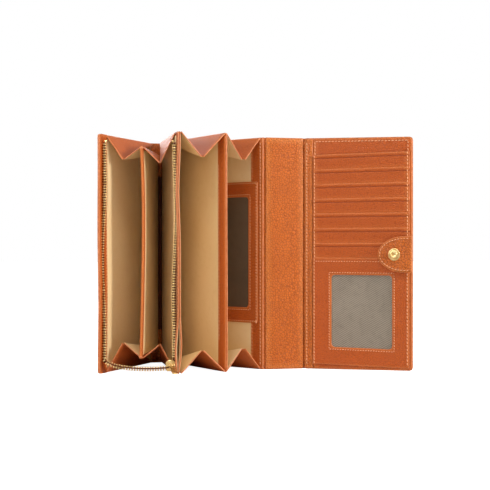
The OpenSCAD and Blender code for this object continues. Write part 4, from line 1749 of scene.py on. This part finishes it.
@dataclass
class Zip:
    """The zip: two tapes, two rows of brass teeth, their slack at the foot, the slider and its puller."""

    root: Panel
    front: Panel
    front_bend: Bend
    tooth_width: float = 3.9
    tooth_pitch: float = 2.15
    tape_half: float = 0.35

    def build(self) -> None:
        """Builds both sides of the zip, the slack and the slider."""
        self._side("zip_tape_right", "zip_teeth_right", self.root, -1, flat_bend)
        self._side("zip_tape_left", "zip_teeth_left", self.front, 1, self.front_bend)
        self._slack()
        self._slider()
        self._puller()

    def tooth(self, way: int) -> np.ndarray:
        """Draws one tooth.

        Args:
            way: 1 where its tip points right, -1 where it points left.

        Returns:
            Rings of points from its root to its tip.
        """
        width = self.tooth_width
        rings = [(0.0, 1.1, 0.45), (0.3, 1.3, 0.56), (1.9, 1.3, 0.56), (2.5, 1.15, 0.42), (3.0, 1.25, 0.5),
                 (3.6, 1.15, 0.48), (width, 0.9, 0.28)]
        turn = np.radians(np.arange(8) * 45 + 22.5)
        loop = [
            (math.copysign(abs(math.cos(t)) ** 0.3, math.cos(t)), math.copysign(abs(math.sin(t)) ** 0.5, math.sin(t)))
            for t in turn
        ]
        return np.array([[(way * (d - width), deep * a, tall * b) for a, b in loop] for d, deep, tall in rings])

    def _side(self, tape_node: str, teeth_node: str, panel: Panel, side: int, bend: Bend) -> None:
        """Builds one tape and its teeth.

        Args:
            tape_node: The CAD node of the tape.
            teeth_node: The CAD node of the teeth.
            panel: The panel that carries them.
            side: 1 where the teeth point right, -1 where they point left.
            bend: The waviness of the panel that carries the tape.
        """
        teeth = panel.span(teeth_node)
        tape = panel.span(tape_node)
        depth = (teeth.u0 + teeth.u1) / 2
        tip = teeth.x1 if side > 0 else teeth.x0
        first, last = teeth.z0 + self.tooth_pitch / 2, teeth.z1 - 3.4
        count = int((last - first) / self.tooth_pitch)
        form = self.tooth(side)
        shape = Shape()
        for k in range(count + 1):
            z = first + k * self.tooth_pitch
            move = self._wander(z, side) + height_at(bend, depth, z)
            grid = form + np.array([tip + move, depth, z])
            shape.add_tube(grid)
        z = teeth.z1 - 1.6
        move = self._wander(z, side)
        near, far = sorted((tip, tip - side * 1.8))
        stop = Span(near + move, far + move, depth - 1.0, depth + 1.0, z - 1.0, z + 1.0)
        add_sheet(shape, SheetPlan(stop, soft=0.4, step=1.0, radius=0.4, foot_round=True), 0, 0, 0)
        make_piece(teeth_node + "_brass", panel, shape, (Goods.BRASS,), [teeth_node])
        shape = Shape()
        root = tape.x0 if side > 0 else tape.x1
        inner = tip - side * 1.2
        zs = np.linspace(tape.z0, tape.z1, 46)
        rows = []
        for z in zs:
            hold = height_at(bend, depth, z)
            move = self._wander(z, side) + hold
            start, end = root + hold, inner + move
            rise = np.linspace(0, 1, 5)
            xs = start + (end - start) * rise
            us = depth - 2.5 * (1 - rise) ** 2
            front = [(x, u + self.tape_half, z) for x, u in zip(xs, us, strict=True)]
            behind = [(x, u - self.tape_half, z) for x, u in zip(xs[::-1], us[::-1], strict=True)]
            rows.append(front + behind)
        sections = np.array(rows)
        shape.add_tube(sections, flat=sections[..., [0, 2]])
        make_piece(tape_node + "_cloth", panel, shape, (Goods.TAPE_SHADED,), [tape_node])

    def _wander(self, z: float, side: int) -> float:
        """Finds how far the slack tape lets its teeth wander sideways.

        Args:
            z: The height.
            side: 1 for the left row, -1 for the right row.

        Returns:
            The way to the right, in millimetres.
        """
        if side > 0:
            return -3.0 * math.exp(-(((z - 88) / 36) ** 2)) + 0.7 * math.exp(-(((z - 150) / 22) ** 2))
        return 1.5 * math.exp(-(((z - 132) / 28) ** 2)) - 0.9 * math.exp(-(((z - 64) / 24) ** 2))

    def _slack(self) -> None:
        """Builds the slack of the chain, from the front panel's last tooth round to the slider."""
        left = self.front.span("zip_teeth_left")
        slider = self.root.span("zip_slider")
        depth = (left.u0 + left.u1) / 2
        start = self.front.to_row(np.array([left.x1 - 1.5 + self._wander(left.z0, 1), depth, left.z0 + 0.5]))
        end = np.array([(slider.x0 + slider.x1) / 2 - 1.5, -(slider.u0 + slider.u1) / 2 + 0.5, slider.z0 + 3.5])
        hang = np.array([0.0, 0.0, -7.5])
        c0 = start + hang
        c1 = end + np.array([-18.0, 4.0, -2.6])
        line = cubic((start, end), (c0, c1), 30)
        way = np.gradient(line, axis=0)
        way = way / np.linalg.norm(way, axis=1)[:, None]
        up = np.cross(way, np.array([0.0, 1.0, 0.0]))
        up = up / np.linalg.norm(up, axis=1)[:, None]
        out = np.cross(up, way)
        shape = Shape()
        tape = ((1.2, 0.3), (1.2, -0.35), (-5.0, -0.35), (-5.0, 0.3))
        sections = to_origin(np.stack([line + out * a + up * b for a, b in tape], axis=1))
        shape.add_tube(sections, 1, flat=sections[..., [0, 2]])
        reach = np.concatenate([[0.0], np.cumsum(np.linalg.norm(np.diff(line, axis=0), axis=1))])
        form = self.tooth(1)
        for k in range(int(reach[-1] / self.tooth_pitch)):
            at = (k + 0.5) * self.tooth_pitch
            spot, w, rise, o = (
                np.array([np.interp(at, reach, a[:, i]) for i in range(3)]) for a in (line, way, up, out)
            )
            grid = np.array([[spot + rise * (p[0] + 1.4) + o * p[1] + w * p[2] for p in ring] for ring in form])
            shape.add_tube(to_origin(grid))
        goods = (Goods.BRASS, Goods.TAPE_SHADED)
        made = make_piece("zip_slack", at_origin(self.root.body), shape, goods, ride=False)
        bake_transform(made)

    def _slider(self) -> None:
        """Builds the slider: two shield plates, the wedge between them and the lugs."""
        box = self.root.span("zip_slider")
        middle = (box.x0 + box.x1) / 2
        lug = 3.4
        top, half = box.z1, (box.x1 - box.x0) / 2
        loop = []
        for z, w in ((0.0, 0.72), (0.12, 0.92), (0.4, 1.0), (0.7, 0.98), (0.88, 0.8), (1.0, 0.42)):
            loop.append((w * half, box.z0 + z * (top - box.z0)))
        outline = [*loop, *[(-x, z) for x, z in loop[::-1]]]
        upright = Panel(self.root.body, (0.0, 0.0), math.pi / 2)
        shape = Shape()
        inner_u, outer_u = box.u0 + 1.0, box.u1 - lug - 1.0
        points = np.array([(x + middle, z) for x, z in outline])
        for u0, u1 in ((box.u0, inner_u), (outer_u, outer_u + 1.0)):
            add_pad(shape, points, (middle, (box.z0 + top) / 2), -u1, -u0, soft=0.4, right=0, left=0, rim=0)
        turn = np.linspace(0, math.tau, 20, endpoint=False)
        wedge = np.array([(middle + 0.45 * math.cos(t), box.z0 + 4.5 + 3.8 * math.sin(t)) for t in turn])
        wedge_middle = (middle, box.z0 + 4.5)
        add_pad(shape, wedge, wedge_middle, -outer_u - 0.1, -inner_u + 0.1, soft=CLOTH_RIM, right=0, left=0, rim=0)
        for x in (middle - 2.2, middle + 2.2):
            self._lug(shape, x, outer_u + 0.9, box.u1 - 1.5, box.z0 + 4.95)
        make_piece("zip_slider_brass", upright, shape, (Goods.BRASS,), ["zip_slider"], body="slider")

    def _lug(self, shape: Shape, x: float, u0: float, u1: float, z: float) -> None:
        """Adds one rounded ear that holds the puller's pin.

        Args:
            shape: The shape that it goes into.
            x: Its middle across the slider.
            u0: Depth of its root.
            u1: Depth of the pin.
            z: Height of the pin.
        """
        turn = np.linspace(0, math.tau, 18, endpoint=False)
        rings = []
        for w, grow in ((-0.5, 0.8), (-0.4, 1.0), (0.4, 1.0), (0.5, 0.8)):
            ring = []
            for t in turn:
                du, dz = math.cos(t), math.sin(t)
                length = (1.5 if du > 0 else u1 - u0) * grow
                ring.append((-(u1 + du * length), x + w, z + dz * 1.5 * grow))
            rings.append(ring)
        shape.add_tube(np.array(rings))

    def _puller(self) -> None:
        """Builds the puller: a tapered tongue on its pin."""
        joint = joint_named("zip_puller_swing")
        pivot = np.array(joint["pos_m"]) / MM
        points = node_points("zip_puller")
        tip = points[np.argmin(points[:, 1])]
        way = np.array([0.0, tip[1] - pivot[1], tip[2] - pivot[2]])
        length = float(np.linalg.norm(way))
        way = way / length
        lift = np.cross(np.array([1.0, 0.0, 0.0]), way)
        outline = [(2.1, 1.0), (2.1, 4.0), (1.7, 6.5), (1.9, 10.0), (2.5, 15.5), (2.4, length - 2.0),
                   (1.6, length - 0.5), (0.5, length)]
        loop = np.array([*outline, *[(-w, d) for w, d in outline[::-1]]])
        shape = Shape()
        add_pad(shape, loop, (0.0, length * 0.62), -0.55, 0.55, soft=0.35, crown=0.1, right=0, left=0, rim=0)
        add_capsule(shape, np.array([0.0, -2.7, 0.0]), np.array([0.0, 2.7, 0.0]), 0.75, sides=12)
        add_capsule(shape, np.array([0.0, -1.4, 0.0]), np.array([0.0, 1.4, 0.0]), 1.2, sides=12)
        local = np.array(shape.points)
        across = np.array([1.0, 0.0, 0.0])
        row = pivot + local[:, 1:2] * across + local[:, 2:3] * way + local[:, 0:1] * lift
        shape.points = to_origin(row).tolist()
        make_piece("zip_puller_brass", at_origin("puller"), shape, (Goods.BRASS,), ["zip_puller"])


@dataclass
class GussetLeaf:
    """One leaf of a folded gusset: leather outside, cloth inside and a painted mouth edge.

    Attributes:
        node: Its CAD node.
        grow_fold: How far it reaches past the CAD plate at the fold.
        grow_hinge: How far its sewn edge reaches into the panel's lining.
        grow_spine: How far it reaches past the CAD plate towards the spine.
        belly: How far its middle swells.
        half: Half its thickness.
        soft: Radius of its rim.
    """

    node: str
    grow_fold: float = 0.95
    grow_hinge: float = 1.3
    grow_spine: float = 3.4
    belly: float = 0.2
    half: float = 0.42
    soft: float = 0.3

    def build(self) -> None:
        """Builds the leaf over its CAD plate."""
        corners, normal = self._corners()
        if normal[2] * (1 if "_top_" in self.node else -1) < 0:
            normal = -normal
        a, b, c, d = corners
        hinge_way = (b - a) / np.linalg.norm(b - a)
        fall = (c - b) / np.linalg.norm(c - b)
        level = fall * np.array([1.0, 1.0, 0.0])
        level = level / np.linalg.norm(level)
        a, b = a - level * self.grow_hinge, b - level * self.grow_hinge
        c, d = c + fall * self.grow_fold, d + fall * self.grow_fold * 0.7
        a, d = a - hinge_way * self.grow_spine, d - hinge_way * self.grow_spine
        rim = rim_profile(self.half * 2, self.soft)
        near = [r[0] for r in rim]
        length, depth = float(np.linalg.norm(b - a)), float(np.linalg.norm(c - b))
        at_end, at_side = np.array(near) / length, np.array(near) / depth
        along = np.unique(np.concatenate([at_end, np.linspace(0.03, 0.97, 16), 1 - at_end]))
        down = np.unique(np.concatenate([at_side, np.linspace(0.08, 0.92, 7), 1 - at_side]))
        s, t = np.meshgrid(along, down, indexing="ij")
        s, t = s[..., None], t[..., None]
        surface = (1 - s) * (1 - t) * a + s * (1 - t) * b + s * t * c + (1 - s) * t * d
        surface = surface + normal * self.belly * np.sin(s * math.pi * 0.9) * np.sin(t * math.pi)
        edge = np.minimum(np.minimum(s, 1 - s) * length, np.minimum(t, 1 - t) * depth)[..., 0]
        thick = np.interp(edge, near, [r[1] for r in rim])[..., None]
        low = near[2] + SLIM
        mid_s, mid_t = (along[:-1] + along[1:]) / 2, (down[:-1] + down[1:]) / 2
        rim_s = (1 - mid_s) * length < 1.3
        rim_t = np.minimum(mid_t, 1 - mid_t) * depth < low
        at_rim = rim_s[:, None] | rim_t[None, :]
        wear_and_shade = np.clip(1 - edge / WEAR_REACH, 0, 1)
        shape = Shape()
        lay = np.stack([(s * length)[..., 0], (t * depth)[..., 0]], axis=-1)
        up = shape.add_grid(to_origin(surface + normal * thick), np.where(at_rim, 2, 0), wear_and_shade, flat=lay)
        under = to_origin(surface - normal * thick)
        under = shape.add_grid(under, np.where(at_rim, 2, 1), wear_and_shade, turn=True, flat=lay)
        shape.close_rim(up, under, 2)
        goods = (Goods.GUSSET, Goods.LINING, Goods.EDGE)
        make_piece(self.node + "_leather", at_origin(self.node + "_leaf"), shape, goods, [self.node])

    def _corners(self) -> tuple[list[np.ndarray], np.ndarray]:
        """Finds the leaf's four corners and its normal.

        Returns:
            Hinge corner at the spine, hinge corner at the mouth, fold corner at the mouth and fold corner at
            the spine, and the unit normal.
        """
        joint = joint_named(self.node + "_fold")
        axis = -np.array(joint["axis"], float)
        pivot = np.array(joint["pos_m"], float) / MM
        points = node_points(self.node)
        points = np.unique(np.round(points, 4), axis=0)
        middle = points.mean(axis=0)
        _, _, ways = np.linalg.svd(points - middle)
        normal = ways[2]
        flat = points - np.outer((points - middle) @ normal, normal)
        flat = np.array([p for i, p in enumerate(flat) if all(np.linalg.norm(p - q) > 0.05 for q in flat[:i])])
        along = (flat - pivot) @ axis
        off = np.linalg.norm((flat - pivot) - np.outer(along, axis), axis=1)
        order = np.argsort(off)
        hinge = sorted(order[:2], key=lambda i: along[i])
        fold = sorted(order[2:4], key=lambda i: along[i])
        return [flat[hinge[0]], flat[hinge[1]], flat[fold[1]], flat[fold[0]]], normal


# ----------------------------------------
# Stage
# ----------------------------------------


# The middle of the wallet, in metres, which every lamp looks at.
AIM = Vector((0.05, -0.05, 0.1))
# Each lamp's name, place seen from the camera's heading and side in millimetres, and power in watts.
LAMPS = (
    ("front_lamp", (-60, -950, 560), 420, 0.7),
    ("left_lamp", (-820, -560, 380), 200, 3.9),
    ("top_lamp", (40, -420, 900), 300, 3.2),
    ("back_lamp", (-200, 1100, 500), 420, 5.0),
    ("right_lamp", (860, -600, 420), 130, 7.2),
)


@dataclass(frozen=True)
class Stage:
    """The floor, the lamps, the white surround and the camera.

    Attributes:
        heading: Direction that the camera looks in, from +Y towards +X, in degrees.
        distance: Distance from the middle divider's mouth plane to the camera, in millimetres.
        sideways: How far the camera stands to the right of the middle divider's foot, in millimetres.
        height: Height of the camera, in millimetres.
        lens: Focal length for a 36 mm sensor.
        fill: Strength of the surround's light on the object, where the eye sees 1.
        mirrored: How bright the surround is in glossy reflections.
        glow: How brightly the floor shows to the camera, over its own shaded colour.
        floor_reach: Half the side of the floor, in metres.
    """

    heading: float = 11.5
    distance: float = 1020.0
    sideways: float = 73.0
    height: float = 106.2
    lens: float = 82.9
    fill: float = 0.15
    mirrored: float = 0.7
    glow: float = 0.95
    floor_reach: float = 6.0

    def build(self) -> None:
        """Builds the stage."""
        self._camera()
        self._world()
        self._floor()
        turn = math.radians(self.heading)
        for name, place, size, power in LAMPS:
            self._lamp(name, place, size, power, turn)

    def _place(self, x: float, y: float, z: float, turn: float) -> Vector:
        """Turns a place seen from the camera's heading into the row frame, in metres."""
        c, s = math.cos(turn), math.sin(turn)
        return Vector((x * c + y * s, -x * s + y * c, z)) * MM

    def _camera(self) -> None:
        """Adds the camera, level and at mid height."""
        turn = math.radians(self.heading)
        data = bpy.data.cameras.new("camera")
        data.lens = self.lens
        data.sensor_width = 36.0
        data.clip_start = 0.01
        made = bpy.data.objects.new("camera", data)
        made.location = self._place(self.sideways, -self.distance, self.height, turn)
        made.rotation_euler = (math.radians(90), 0, -turn)
        bpy.context.scene.collection.objects.link(made)
        bpy.context.scene.camera = made

    def _world(self) -> None:
        """Surrounds the object with an even pale light, white to the eye."""
        world = bpy.data.worlds.new("studio")
        world.use_nodes = True
        tree = world.node_tree
        light = tree.nodes["Background"]
        light.inputs["Color"].default_value = (1, 1, 1, 1)
        path = add_node(tree, "LightPath")
        sheen = calc(tree, "MULTIPLY", path.outputs["Is Glossy Ray"], self.mirrored)
        seen = calc(tree, "MAXIMUM", path.outputs["Is Camera Ray"], sheen)
        strength = add_node(tree, "MapRange", {"Value": seen, "To Min": self.fill, "To Max": 1.0})
        tree.links.new(strength.outputs["Result"], light.inputs["Strength"])
        bpy.context.scene.world = world

    def _floor(self) -> None:
        """Adds the white floor, which keeps a faint shadow."""
        mesh = bpy.data.meshes.new("floor")
        reach = self.floor_reach
        corners = [(-reach, -reach, 0), (reach, -reach, 0), (reach, reach, 0), (-reach, reach, 0)]
        mesh.from_pydata(corners, [], [(0, 1, 2, 3)])
        floor = bpy.data.objects.new("floor", mesh)
        material = bpy.data.materials.new("floor_paint")
        material.use_nodes = True
        tree = material.node_tree
        shader = tree.nodes["Principled BSDF"]
        shader.inputs["Base Color"].default_value = linear("#F4F4F4")
        shader.inputs["Roughness"].default_value = 0.9
        shader.inputs["Emission Color"].default_value = (1, 1, 1, 1)
        seen = add_node(tree, "LightPath").outputs["Is Camera Ray"]
        tree.links.new(calc(tree, "MULTIPLY", seen, self.glow), shader.inputs["Emission Strength"])
        mesh.materials.append(material)
        bpy.context.scene.collection.objects.link(floor)

    def _lamp(self, name: str, place: tuple[float, float, float], size: float, power: float, turn: float) -> None:
        """Adds one soft square lamp that looks at the middle of the wallet.

        Args:
            name: Its name.
            place: Where it stands as the camera sees it, in millimetres.
            size: Length of its side, in millimetres.
            power: Its power, in watts.
            turn: The camera's heading, in radians.
        """
        data = bpy.data.lights.new(name, "AREA")
        data.shape = "SQUARE"
        data.size = size * MM
        data.energy = power
        lamp = bpy.data.objects.new(name, data)
        lamp.location = self._place(*place, turn)
        lamp.rotation_euler = (AIM - lamp.location).to_track_quat("-Z", "Y").to_euler()
        bpy.context.scene.collection.objects.link(lamp)


def main() -> None:
    """Builds the wallet and its stage."""
    FRAME.update(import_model())
    scene = bpy.context.scene
    scene.view_settings.view_transform = "Standard"
    Stage().build()
    root = panel_of("middle_divider", "divider_b_left_wall", None)
    root = Panel(root.body, root.foot, 0.0)
    front = panel_of("front_panel", "front_lining", "front_panel_fold")
    short = panel_of("short_divider", "divider_a_core", "short_divider_fold")
    third = panel_of("third_divider", "divider_c_left_lining", "third_divider_fold")
    back = panel_of("back_panel", "back_lining", "accordion_fold")
    bridge = panel_of("bridge", "bridge_lining", "bridge_fold")
    flap = panel_of("flap", "card_slot_1", "flap_fold")
    front_panel = FrontPanel(front)
    parts = [
        Spine(root, front, back), front_panel, ShortDivider(short), MiddleDivider(root), ThirdDivider(third),
        BackPanel(back), Bridge(bridge, back, flap), Flap(flap), SnapTab(flap), Zip(root, front, front_panel.bend()),
    ]
    for gap in range(1, 5):
        for end in ("top", "foot"):
            for side in ("left", "right"):
                parts.append(GussetLeaf(f"gusset_{gap}_{end}_{side}"))
    for part in parts:
        part.build()


if __name__ == "__main__":
    logging.basicConfig(level=logging.INFO, format="%(message)s")
    main()
